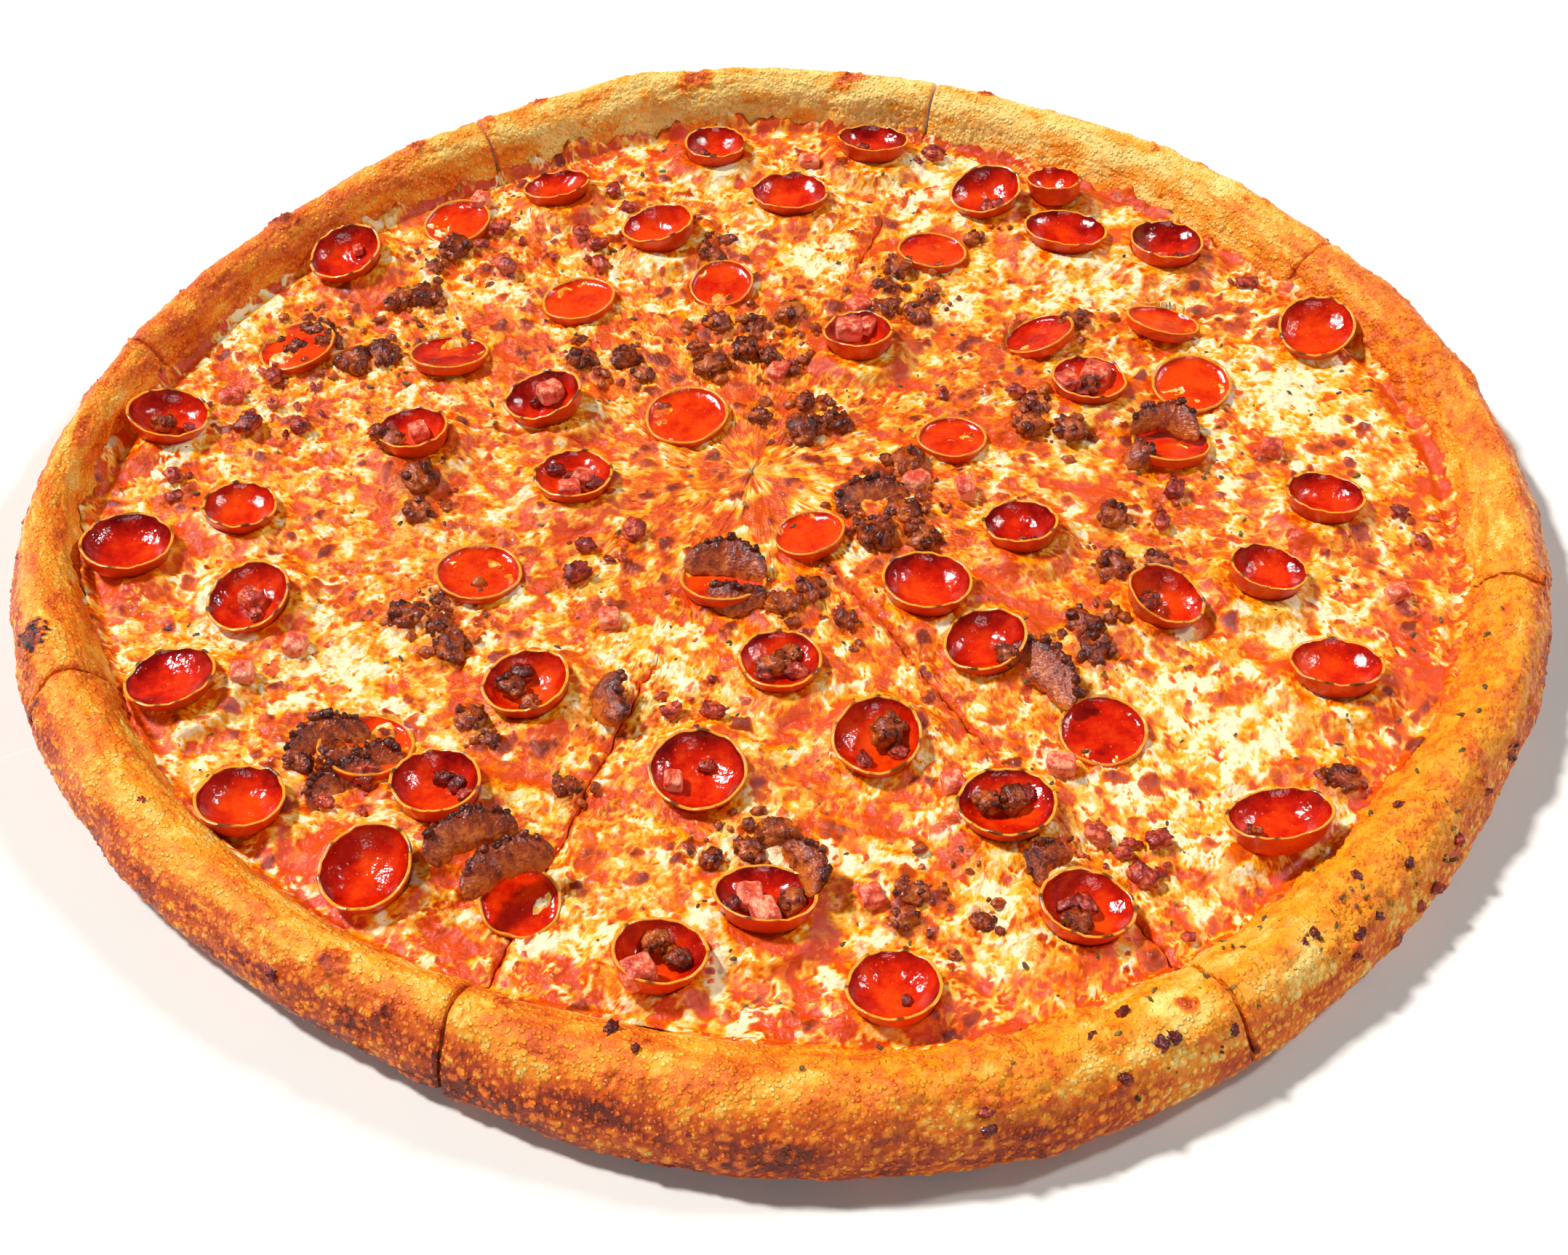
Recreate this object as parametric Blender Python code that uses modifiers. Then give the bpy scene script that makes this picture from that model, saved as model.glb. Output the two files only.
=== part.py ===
"""A large round pizza, cut in eight, with cupped pepperoni, sausage, bacon and ham.

Metres, +Z up. The origin is the middle of the underside, which lies flat on Z = 0.
Angles run anticlockwise from +X, seen from above, and -Y is the front.

The dough and the cheese are each made whole, as one disc, and then cut with eight wedges, as a
pizza wheel would. The small toppings are fused to the cheese. The free cups of pepperoni and the
three largest pieces of sausage lie on it.
"""

import math
import random

import bmesh
import bpy
from mathutils import Matrix, Vector, noise
from mathutils.bvhtree import BVHTree

MM = 0.001

# Dough and cheese
BASE_TOP = 4.8 * MM
CHEESE_TOP = 8.2 * MM
CHEESE_SWELL = 1.6 * MM
SWELL_SPACING = 17 * MM
CHEESE_LIP = 3.0 * MM
REST_GAP = 0.3 * MM
SETTLE_STEP = 0.05 * MM
CHEESE_GRID = 20 * MM
CHEESE_GRID_REACH = 210 * MM
SAME_HEIGHT = 0.001 * MM
RIM_SEGMENTS = 84
RIM_LUMPS = 0.8 * MM
RIM_FOOT_SHARE = 0.32
RIM_FOOT_RUN = 7.0 * MM
FLAT_FOOT = 11.0 * MM

# One row for every 20 degrees: outer radius, inner edge of the rim, height of its crest
RIM_STATIONS_MM = (
    (230.0, 204, 22),
    (229.0, 205, 22),
    (228.0, 201, 23),
    (228.5, 203, 24),
    (230.0, 206, 25),
    (231.0, 205, 26),
    (228.0, 202, 25),
    (226.0, 206, 23),
    (229.0, 210, 22),
    (232.0, 213, 22),
    (231.0, 204, 25),
    (225.5, 200, 25),
    (223.5, 197, 25),
    (228.5, 193, 26),
    (233.0, 200, 25),
    (230.5, 198, 22),
    (226.5, 196, 21),
    (227.0, 202, 21),
)

# Slow waves round the rim: how many, phase in radians, share of RIM_LUMPS
RIM_WAVES = ((5, 0.4, 0.6), (9, 2.1, 0.5), (14, 4.0, 0.45), (21, 1.2, 0.35))

# Large bubbles: direction in degrees, place from the foot of the outside (0) to the cheese (1),
# then reach along the rim and rise in millimetres
RIM_BUBBLES = ((16, 0.75, 15, 3.0), (199, 0.60, 10, 2.5), (104, 0.5, 18, 1.5), (268, 0.45, 20, 1.5))
BUBBLE_ROUNDNESS = 3.0

# The four cuts cross a little off the middle
CUT_CENTRE_MM = (-11, 17.5)
CUT_ANGLES_DEG = (27.7, 71.4, 120.3, 165.8, 207.7, 251.4, 300.3, 345.8)
CUT_WIDTH = 1.2 * MM
SLICE_SHIFT_MM = (0.3, 0.9, 0.2, 0.7, 0.4, 1.1, 0.5, 0.8)
WEDGE_REACH = 340 * MM
WEDGE_BOTTOM = -10 * MM
WEDGE_HEIGHT = 60 * MM

# Pepperoni
PEPPERONI_SIDES = 12
PEPPERONI_WALL = 1.5 * MM
PEPPERONI_FLOOR = 1.3 * MM

# Cups that stand free: x, y, diameter, depth, in millimetres, then tilt in degrees, the direction
# that the mouth leans to, and the share by which the cup is longer along that direction
CUPS = (
    (-26, 188, 24, 7, 8, 80, 0.06),
    (1, 161, 26, 6, 4, 90, -0.06),
    (-81, 163, 23, 6, 12, 120, -0.08),
    (-43, 137, 25, 8, 14, 160, 0.04),
    (-150, 124, 25, 7, 12, 230, 0.05),
    (-76, 46, 24, 8, 14, 190, 0.08),
    (-197, 38, 25, 7, 12, 10, 0.04),
    (-117, 30, 24, 7, 12, 130, 0.06),
    (-66, 11, 25, 6, 6, 100, 0.02),
    (-167, -3, 23, 6, 6, 60, 0.00),
    (-198, -21, 28, 7, 8, 60, 0.02),
    (-157, -42, 25, 6, 12, 235, 0.05),
    (-174, -76, 27, 5, 12, 140, 0.02),
    (-73, -77, 25, 7, 8, 190, 0.03),
    (-2, -68, 25, 6, 6, 100, 0.02),
    (-148, -121, 25, 7, 8, 60, 0.02),
    (-95, -116, 26, 8, 8, 110, 0.04),
    (-24, -109, 27, 6, 10, 240, -0.04),
    (-110, -144, 26, 8, 10, 245, 0.05),
    (-34, -173, 24, 8, 12, 20, 0.07),
    (-6, -155, 26, 7, 14, 80, -0.08),
    (41, -37, 27, 7, 6, 75, 0.00),
    (71, -13, 23, 7, 12, 130, 0.05),
    (164, 0, 24, 7, 10, 70, -0.03),
    (141, -33, 24, 7, 14, 40, 0.04),
    (109, -43, 23, 7, 16, 340, 0.05),
    (58, -61, 24, 7, 12, 200, 0.04),
    (156, -72, 26, 7, 12, 85, -0.06),
    (25, -97, 26, 7, 8, 250, 0.03),
    (59, -123, 27, 6, 6, 100, -0.02),
    (132, -130, 27, 8, 18, 110, -0.10),
    (76, -157, 25, 7, 12, 10, 0.05),
    (27, -182, 25, 6, 8, 110, 0.00),
    (31, 189, 25, 7, 12, 80, -0.06),
    (71, 160, 25, 7, 12, 210, 0.03),
    (95, 162, 21, 8, 16, 110, 0.10),
    (96, 137, 28, 6, 10, 70, -0.04),
    (130, 129, 27, 7, 10, 60, 0.05),
    (175, 84, 26, 6, 12, 240, 0.05),
    (24, 78, 24, 8, 12, 120, 0.06),
    (97, 57, 25, 6, 8, 60, 0.02),
)

# Slices of pepperoni that the cheese or the sausage has half buried: x, y, diameter, tilt, direction
BURIED_SLICES = (
    (-115, 147, 24, 8, 200),
    (-70, 103, 25, 8, 150),
    (-22, 112, 22, 10, 230),
    (-161, 78, 26, 12, 170),
    (-111, 74, 26, 16, 90),
    (-32, 43, 27, 6, 200),
    (-92, -29, 26, 6, 60),
    (-19, -32, 26, 14, 90),
    (-117, -98, 27, 10, 60),
    (-70, -152, 22, 10, 300),
    (88, -92, 25, 5, 250),
    (50, 130, 24, 8, 60),
    (84, 84, 24, 24, 150),
    (125, 91, 25, 20, 60),
    (131, 59, 26, 6, 250),
    (121, 29, 25, 14, 90),
    (52, 32, 22, 6, 90),
    (7, -12, 22, 12, 150),
)

# The largest pieces of sausage: x, y, length, width, height in millimetres, turn in degrees
SAUSAGE_PIECES = (
    (-78, -143, 36, 21, 12, 165),
    (75, -75, 25, 10, 7, 312),
    (-49, -82, 20, 9, 9, 80),
)

# Where the crumbled sausage, the bacon and the diced ham lie: x, y, spread in millimetres, count
SAUSAGE_PATCHES = (
    (-146, 88, 22, 5),
    (-118, 112, 20, 4),
    (-12, 82, 20, 7),
    (-58, 72, 14, 3),
    (4, 42, 14, 4),
    (32, 2, 20, 5),
    (38, 108, 18, 5),
    (72, 144, 10, 1),
    (-30, 134, 12, 2),
    (-112, 8, 12, 2),
    (-100, -44, 16, 4),
    (-128, -106, 12, 3),
    (-57, -112, 6, 1),
    (-14, -132, 12, 3),
    (14, -42, 16, 3),
    (102, 92, 8, 1),
    (100, -16, 14, 3),
    (88, -52, 10, 2),
    (40, -152, 16, 3),
    (86, 38, 14, 3),
    (155, -110, 4, 1),
    (-84, -90, 8, 2),
)
BACON_PATCHES = (
    (-165, 50, 18, 4),
    (-90, 186, 20, 3),
    (-104, 134, 18, 3),
    (-70, 132, 14, 3),
    (-185, 8, 12, 2),
    (-50, -22, 18, 3),
    (-118, -120, 14, 2),
    (88, -136, 12, 4),
    (108, -168, 6, 2),
    (18, -192, 9, 2),
    (50, -192, 6, 2),
    (160, 112, 10, 2),
    (190, -8, 8, 2),
    (118, 2, 12, 2),
    (-30, -82, 12, 2),
    (46, 190, 8, 2),
    (60, 60, 16, 1),
    (-60, 158, 12, 2),
)
HAM_DICE = (
    (8, 184),
    (35, 166),
    (24, 100),
    (-63, 200),
    (-120, 164),
    (-108, 158),
    (-179, 53),
    (-128, 50),
    (-3, 66),
    (152, 26),
    (165, 106),
    (55, 8),
    (40, 12),
    (-142, -59),
    (-155, -72),
    (22, -150),
    (45, -113),
    (75, -106),
    (-63, -124),
    (180, -38),
    (-52, -48),
    (-72, -14),
    (55, -188),
)

# What is scattered: kind, patches, smallest and largest size across, in millimetres
SCATTERS = (("sausage", SAUSAGE_PATCHES, 7, 14), ("bacon", BACON_PATCHES, 5, 9))
HAM_DIE_MM = 7.5
BURIED_THICKNESS_MM = 3.6
LUMP_FLOOR = 5.6 * MM
CRUMB_SPACING_MM = 9
CUT_MARGIN_MM = 5.5
CUP_MARGIN_MM = 6.5
RIM_MARGIN_MM = 9
TRIES = 40

COLLECTION = "Pizza"
TOOL_COLLECTION = "Pizza tools"


def make_material(name, colour, roughness):
    """A Principled material of one colour."""
    material = bpy.data.materials.new(name)
    material.use_nodes = True
    shader = material.node_tree.nodes["Principled BSDF"]
    shader.inputs["Base Color"].default_value = (*colour, 1.0)
    shader.inputs["Roughness"].default_value = roughness
    shader.inputs["Metallic"].default_value = 0.0
    return material


def link(obj, collection, material=None):
    """Puts a new object in its collection and gives it its material."""
    collection.objects.link(obj)
    if material is not None:
        obj.data.materials.append(material)
    return obj


def mesh_from(bm, name):
    """A mesh of that name from a bmesh, with its faces turned outwards."""
    bmesh.ops.recalc_face_normals(bm, faces=bm.faces)
    mesh = bpy.data.meshes.new(name)
    bm.to_mesh(mesh)
    bm.free()
    return mesh


def station(angle, column):
    """The rim's measure at an angle in radians: a smooth closed curve through the stations."""
    count = len(RIM_STATIONS_MM)
    place = (angle / math.tau % 1.0) * count
    index = int(place)
    t = place - index
    a, b, c, d = (RIM_STATIONS_MM[(index + k) % count][column] for k in (-1, 0, 1, 2))
    smooth = b + 0.5 * t * (c - a + t * (2 * a - 5 * b + 4 * c - d + t * (3 * (b - c) + d - a)))
    return smooth * MM


def outer_radius(angle):
    return station(angle, 0)


def inner_radius(angle):
    return station(angle, 1)


def crest_height(angle):
    return station(angle, 2)


def clear_of_cups(x, y, margin):
    """False within the margin of a cup or a large piece of sausage, all in millimetres."""
    pieces = (*CUPS, *SAUSAGE_PIECES)
    return all(math.hypot(x - px, y - py) >= across / 2 + margin for px, py, across, *_ in pieces)


def rim_profile(angle):
    """The dough's section at an angle, as (radius, height) from the underside round to the top."""
    outer, inner, crest = outer_radius(angle), inner_radius(angle), crest_height(angle)
    width = outer - inner
    return (
        (outer - FLAT_FOOT, 0.0),
        (outer - 3.0 * MM, 2.6 * MM),
        (outer, 8.0 * MM),
        (outer - 0.10 * width, 0.66 * crest),
        (outer - 0.28 * width, 0.92 * crest),
        (outer - 0.50 * width, crest),
        (outer - 0.76 * width, 0.84 * crest),
        (outer - 0.94 * width, 0.52 * crest),
        (inner - 1.0 * MM, RIM_FOOT_SHARE * crest),
        (inner - RIM_FOOT_RUN, BASE_TOP),
    )


def disc_from_rings(rings):
    """A closed disc: rings of points from the underside out and round to the top, and flat ends.

    Gives the bmesh, with the upper end as its last face.
    """
    bm = bmesh.new()
    rows = [[bm.verts.new(point) for point in ring] for ring in rings]
    count = len(rows[0])
    for lower, upper in zip(rows, rows[1:]):
        for k in range(count):
            n = (k + 1) % count
            bm.faces.new((lower[k], lower[n], upper[n], upper[k]))
    bm.faces.new(list(reversed(rows[0])))
    top = bm.faces.new(rows[-1])
    return bm, top


def ring_points(measure):
    """One point for each segment's angle, where measure(angle) gives its radius and height."""
    points = []
    for k in range(RIM_SEGMENTS):
        angle = math.tau * k / RIM_SEGMENTS
        radius, height = measure(angle)
        points.append((radius * math.cos(angle), radius * math.sin(angle), height))
    return points


def make_whole_dough():
    """The dough before it is cut: a thin flat base inside a thick, uneven, rounded rim."""
    rows = len(rim_profile(0.0))
    bm, _ = disc_from_rings([ring_points(lambda a, r=row: uneven(a, r)) for row in range(rows)])
    return mesh_from(bm, "whole_dough")


def uneven(angle, row):
    """A point of the rim's section, moved by the dough's slow waves and its few large bubbles."""
    section = rim_profile(angle)
    radius, height = section[row]
    if 1 < row < len(section) - 2:
        share = (row - 1) / (len(section) - 3)
        for turns, phase, size in RIM_WAVES:
            radius += RIM_LUMPS * size * math.cos(turns * angle + phase + 2.0 * share)
            height += RIM_LUMPS * size * math.sin(turns * angle + phase - 3.0 * share)
        for degrees, place, across, rise in RIM_BUBBLES:
            beside = math.remainder(angle - math.radians(degrees), math.tau) * radius / (across * MM)
            along = (share - place) * BUBBLE_ROUNDNESS
            height += rise * MM * math.exp(-(beside**2) - along**2)
    return radius, height


def cheese_height(x, y):
    """The top of the cheese: low and even where a topping rests, gently swelling elsewhere."""
    if not clear_of_cups(x / MM, y / MM, 1.3 * CHEESE_GRID / MM):
        return CHEESE_TOP
    swell = noise.noise(Vector((x, y, 0.0)) / SWELL_SPACING)
    return CHEESE_TOP + CHEESE_SWELL * max(0.0, 0.55 + swell)


def is_level(vert):
    """True for a vertex of the cheese's flat top, before it swells."""
    return abs(vert.co.z - CHEESE_TOP) < SAME_HEIGHT


def make_whole_cheese():
    """The cheese before it is cut: it lies on the base and laps a little way up the rim.

    Its lower edge runs beside the dough's own rows, and its top is a coarse grid of swells.
    """
    foot, gap = RIM_FOOT_SHARE, REST_GAP
    rings = [
        ring_points(lambda a: (inner_radius(a) - RIM_FOOT_RUN - gap, BASE_TOP + gap)),
        ring_points(lambda a: (inner_radius(a) - 1.3 * MM, foot * crest_height(a) + 1.2 * gap)),
        ring_points(lambda a: (inner_radius(a) - 0.3 * MM, foot * crest_height(a) + CHEESE_LIP)),
        ring_points(lambda a: (inner_radius(a) - 7.0 * MM, CHEESE_TOP)),
    ]
    bm, top = disc_from_rings(rings)
    edge = set(top.verts)
    steps = int(CHEESE_GRID_REACH / CHEESE_GRID)
    for axis in (Vector((1, 0, 0)), Vector((0, 1, 0))):
        for step in range(-steps, steps + 1):
            faces = [face for face in bm.faces if all(is_level(vert) for vert in face.verts)]
            level = {item for face in faces for item in (face, *face.edges, *face.verts)}
            place = axis * (step + 0.5) * CHEESE_GRID
            bmesh.ops.bisect_plane(bm, geom=list(level), plane_co=place, plane_no=axis)
    inside = [
        vert
        for vert in bm.verts
        if vert not in edge and all(is_level(other) for face in vert.link_faces for other in face.verts)
    ]
    for vert in inside:
        vert.co.z = cheese_height(vert.co.x, vert.co.y)
    bmesh.ops.triangulate(bm, faces=bm.faces)
    return mesh_from(bm, "whole_cheese")


def crumb_shape(draw, detail=1):
    """A craggy crumb, one across: an icosphere with each corner moved in or out."""
    bm = bmesh.new()
    bmesh.ops.create_icosphere(bm, subdivisions=detail, radius=0.5)
    for vert in bm.verts:
        vert.co *= draw.uniform(0.82, 1.12)
    return bm


def chip_shape(draw):
    """A small chip, one across, with five uneven sides and a flat top."""
    bm = bmesh.new()
    bmesh.ops.create_cone(bm, cap_ends=True, segments=5, radius1=0.5, radius2=0.36, depth=1.0)
    for vert in bm.verts:
        vert.co *= draw.uniform(0.85, 1.15)
    return bm


def die_shape(draw):
    """A cube, one across, with its sides drawn a little out of square."""
    bm = bmesh.new()
    bmesh.ops.create_cube(bm, size=1.0)
    bmesh.ops.scale(bm, vec=(1, draw.uniform(0.8, 1.0), draw.uniform(0.9, 1.1)), verts=bm.verts)
    return bm


def slice_shape():
    """A flat slice, one across, as half-buried pepperoni lies."""
    bm = bmesh.new()
    bmesh.ops.create_cone(bm, cap_ends=True, segments=9, radius1=0.5, radius2=0.45, depth=1.0)
    return bm


def between_cuts(x, y, margin):
    """True where a point, in millimetres, is clear of every cut and of the rim."""
    if math.hypot(x, y) > inner_radius(math.atan2(y, x)) / MM - RIM_MARGIN_MM:
        return False
    for angle in CUT_ANGLES_DEG:
        along_x, along_y = math.cos(math.radians(angle)), math.sin(math.radians(angle))
        ahead = along_x * (x - CUT_CENTRE_MM[0]) + along_y * (y - CUT_CENTRE_MM[1])
        beside = along_x * (y - CUT_CENTRE_MM[1]) - along_y * (x - CUT_CENTRE_MM[0])
        if ahead > 0 and abs(beside) < margin:
            return False
    return True


def small_toppings():
    """Where the small toppings lie: (kind, x, y, size across, turn), in millimetres and radians.

    A patch's points are spread over it by area, and kept clear of cuts, cups and one another.
    """
    draw = random.Random(18)
    for kind, patches, smallest, largest in SCATTERS:
        for x, y, spread, count in patches:
            placed = []
            for _ in range(TRIES * count):
                if len(placed) == count:
                    break
                reach, turn = spread * math.sqrt(draw.random()), draw.uniform(0, math.tau)
                across = draw.uniform(smallest, largest)
                px, py = x + reach * math.cos(turn), y + reach * math.sin(turn)
                apart = all(math.hypot(px - qx, py - qy) > CRUMB_SPACING_MM for qx, qy in placed)
                if apart and between_cuts(px, py, CUT_MARGIN_MM) and clear_of_cups(px, py, CUP_MARGIN_MM):
                    placed.append((px, py))
                    yield kind, px, py, across, turn
    for x, y in HAM_DICE:
        turn = draw.uniform(0, math.tau)
        if between_cuts(x, y, CUT_MARGIN_MM) and clear_of_cups(x, y, 0):
            yield "ham", x, y, HAM_DIE_MM, turn


def add_lumps(collection):
    """Crumbled sausage, bacon bits, ham dice and the half-buried slices, all sunk in the cheese."""
    draw = random.Random(18)

    def place(name, bm, size, x, y, lift, rotation):
        """Sizes and places a lump, in millimetres, and flattens what would reach below the cheese."""
        spot = Matrix.Translation((x * MM, y * MM, CHEESE_TOP + lift * MM))
        scale = Matrix.Diagonal((*(length * MM for length in size), 1))
        bmesh.ops.transform(bm, matrix=spot @ rotation @ scale, verts=bm.verts)
        for vert in bm.verts:
            vert.co.z = max(vert.co.z, LUMP_FLOOR)
        link(bpy.data.objects.new(name, mesh_from(bm, name)), collection)

    for kind, x, y, across, turn in small_toppings():
        rotation = Matrix.Rotation(turn, 4, "Z")
        if kind == "sausage":
            size = (across, across * draw.uniform(0.6, 0.9), across * 0.75)
            place("sausage_crumb", crumb_shape(draw), size, x, y, 0.14 * across, rotation)
        elif kind == "bacon":
            size = (across, across * 0.75, across * 0.7)
            place("bacon_bit", chip_shape(draw), size, x, y, 0.16 * across, rotation)
        else:
            lean = leaning(draw.uniform(0, 20), draw.uniform(0, 360)) @ rotation
            place("ham_die", die_shape(draw), (across,) * 3, x, y, 0.5, lean)
    for x, y, diameter, tilt, direction in BURIED_SLICES:
        size = (diameter, diameter, BURIED_THICKNESS_MM)
        place("buried_slice", slice_shape(), size, x, y, 0.5, leaning(tilt, direction))


def leaning(tilt_deg, direction_deg):
    """A rotation that leans +Z by the tilt towards the compass direction."""
    direction = math.radians(direction_deg)
    axis = Vector((-math.sin(direction), math.cos(direction), 0))
    return Matrix.Rotation(math.radians(tilt_deg), 4, axis)


def fuse(obj, collection):
    """Joins the collection's lumps to the object with one Boolean union, and removes them."""
    union = obj.modifiers.new("toppings", "BOOLEAN")
    union.operation = "UNION"
    union.operand_type = "COLLECTION"
    union.collection = collection
    union.solver = "MANIFOLD"
    graph = bpy.context.evaluated_depsgraph_get()
    fused = bpy.data.meshes.new_from_object(obj.evaluated_get(graph))
    obj.modifiers.clear()
    obj.data = fused
    for lump in list(collection.objects):
        bpy.data.objects.remove(lump)
    bpy.data.collections.remove(collection)


def make_wedge(index, tools):
    """The cutter that leaves one slice: a tall prism between two cuts, half a cut's width inside."""
    low = math.radians(CUT_ANGLES_DEG[index])
    high = math.radians(CUT_ANGLES_DEG[(index + 1) % len(CUT_ANGLES_DEG)])
    high += math.tau if high < low else 0.0
    middle, half = (low + high) / 2, (high - low) / 2
    centre = Vector(CUT_CENTRE_MM) * MM
    tip = centre + Vector((math.cos(middle), math.sin(middle))) * (CUT_WIDTH / 2 / math.sin(half))
    corners = [tip] + [tip + WEDGE_REACH * Vector((math.cos(a), math.sin(a))) for a in (low, high)]
    bm = bmesh.new()
    lower = [bm.verts.new((*corner, WEDGE_BOTTOM)) for corner in corners]
    face = bm.faces.new(lower)
    made = bmesh.ops.extrude_face_region(bm, geom=[face])
    lifted = [v for v in made["geom"] if isinstance(v, bmesh.types.BMVert)]
    bmesh.ops.translate(bm, verts=lifted, vec=(0, 0, WEDGE_HEIGHT))
    cutter = link(bpy.data.objects.new(f"wedge_{index + 1}", mesh_from(bm, "wedge")), tools)
    cutter.hide_render = True
    cutter.display_type = "WIRE"
    return cutter, middle


def drop_scraps(mesh):
    """Keeps the largest connected piece of a mesh and deletes the loose scraps that a cut leaves."""
    bm = bmesh.new()
    bm.from_mesh(mesh)
    unseen, islands = set(bm.verts), []
    while unseen:
        island, front = set(), [next(iter(unseen))]
        while front:
            vert = front.pop()
            if vert in unseen:
                unseen.discard(vert)
                island.add(vert)
                front += [edge.other_vert(vert) for edge in vert.link_edges]
        islands.append(island)
    largest = max(islands, key=len)
    bmesh.ops.delete(bm, geom=[vert for vert in bm.verts if vert not in largest], context="VERTS")
    bm.to_mesh(mesh)
    bm.free()


def cut_slice(name, whole, index, wedge, middle, parts, material):
    """One slice of a whole disc, moved out from the middle by its own small shift."""
    piece = link(bpy.data.objects.new(name, whole.copy()), parts, material)
    cut = piece.modifiers.new("cut", "BOOLEAN")
    cut.operation = "INTERSECT"
    cut.object = wedge
    graph = bpy.context.evaluated_depsgraph_get()
    piece.data = bpy.data.meshes.new_from_object(piece.evaluated_get(graph))
    piece.modifiers.clear()
    drop_scraps(piece.data)
    shift = SLICE_SHIFT_MM[index] * MM
    piece.location = (shift * math.cos(middle), shift * math.sin(middle), 0)
    return piece


def cup_profile(radius, depth):
    """Half of a cup's section, from the axis under it out, over its thin edge, and back inside."""
    wall, floor = PEPPERONI_WALL, PEPPERONI_FLOOR
    return (
        (0.0, 0.0),
        (0.80 * radius, 0.12 * depth),
        (radius, depth),
        (radius - wall, depth - 0.2 * MM),
        (0.74 * radius, floor + 0.22 * depth),
        (0.0, floor),
    )


def ground_of(pieces):
    """One tree of all the faces that the loose toppings can lie on."""
    bm = bmesh.new()
    for piece in pieces:
        mesh = piece.data.copy()
        mesh.transform(Matrix.Translation(piece.location))
        bm.from_mesh(mesh)
        bpy.data.meshes.remove(mesh)
    tree = BVHTree.FromBMesh(bm)
    bm.free()
    return tree


def settle(obj, ground):
    """Lowers an object on to the ground below it, and leaves the rest gap under its lowest contact."""
    graph = bpy.context.evaluated_depsgraph_get()
    mesh = bpy.data.meshes.new_from_object(obj.evaluated_get(graph))
    mesh.transform(obj.matrix_world)
    drops = [ground.ray_cast(Vector((*vert.co.xy, 0.2)), Vector((0, 0, -1)))[0] for vert in mesh.vertices]
    lift = max(drop.z - vert.co.z for drop, vert in zip(drops, mesh.vertices) if drop is not None)
    shape = bmesh.new()
    shape.from_mesh(mesh)
    bmesh.ops.translate(shape, verts=shape.verts, vec=(0, 0, lift))
    while ground.overlap(BVHTree.FromBMesh(shape)):
        bmesh.ops.translate(shape, verts=shape.verts, vec=(0, 0, SETTLE_STEP))
        lift += SETTLE_STEP
    shape.free()
    bpy.data.meshes.remove(mesh)
    obj.matrix_world = Matrix.Translation((0, 0, lift + REST_GAP)) @ obj.matrix_world


def make_cup(index, parts, material, ground):
    """A slice of pepperoni curled up into a cup: a turned section, drawn out of round and tilted."""
    x, y, diameter, depth, tilt, direction, stretch = CUPS[index]
    profile = bpy.data.meshes.new("cup_section")
    points = [(r, 0.0, z) for r, z in cup_profile(diameter * MM / 2, depth * MM)]
    profile.from_pydata(points, [(k, k + 1) for k in range(len(points) - 1)], [])
    cup = link(bpy.data.objects.new(f"pepperoni_{index + 1:02d}", profile), parts, material)
    turn = cup.modifiers.new("turn", "SCREW")
    turn.steps = turn.render_steps = PEPPERONI_SIDES
    turn.use_merge_vertices = True
    turn.merge_threshold = 0.0001
    turn.use_normal_calculate = True
    turn.use_normal_flip = True
    cup.rotation_mode = "QUATERNION"
    spin = Matrix.Rotation(math.radians(direction), 4, "Z")
    matrix = leaning(tilt, direction) @ spin @ Matrix.Diagonal((1 + stretch, 1 - stretch, 1, 1))
    cup.matrix_world = Matrix.Translation((x * MM, y * MM, 0)) @ matrix
    settle(cup, ground)
    return cup


def make_sausage_piece(index, parts, material, ground):
    """One of the large craggy pieces of sausage, flat underneath where it lies on the cheese."""
    x, y, length, width, height, turn = SAUSAGE_PIECES[index]
    draw = random.Random(40 + index)
    bm = crumb_shape(draw, detail=2)
    bmesh.ops.scale(bm, vec=(length * MM, width * MM, 1.5 * height * MM), verts=bm.verts)
    mesh = mesh_from(bm, "sausage_piece")
    for vert in mesh.vertices:
        vert.co.z = max(vert.co.z, -0.3 * height * MM)
    piece = link(bpy.data.objects.new(f"sausage_{index + 1}", mesh), parts, material)
    turned = Matrix.Rotation(math.radians(turn), 4, "Z")
    piece.matrix_world = Matrix.Translation((x * MM, y * MM, 0)) @ turned
    settle(piece, ground)
    return piece


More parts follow.
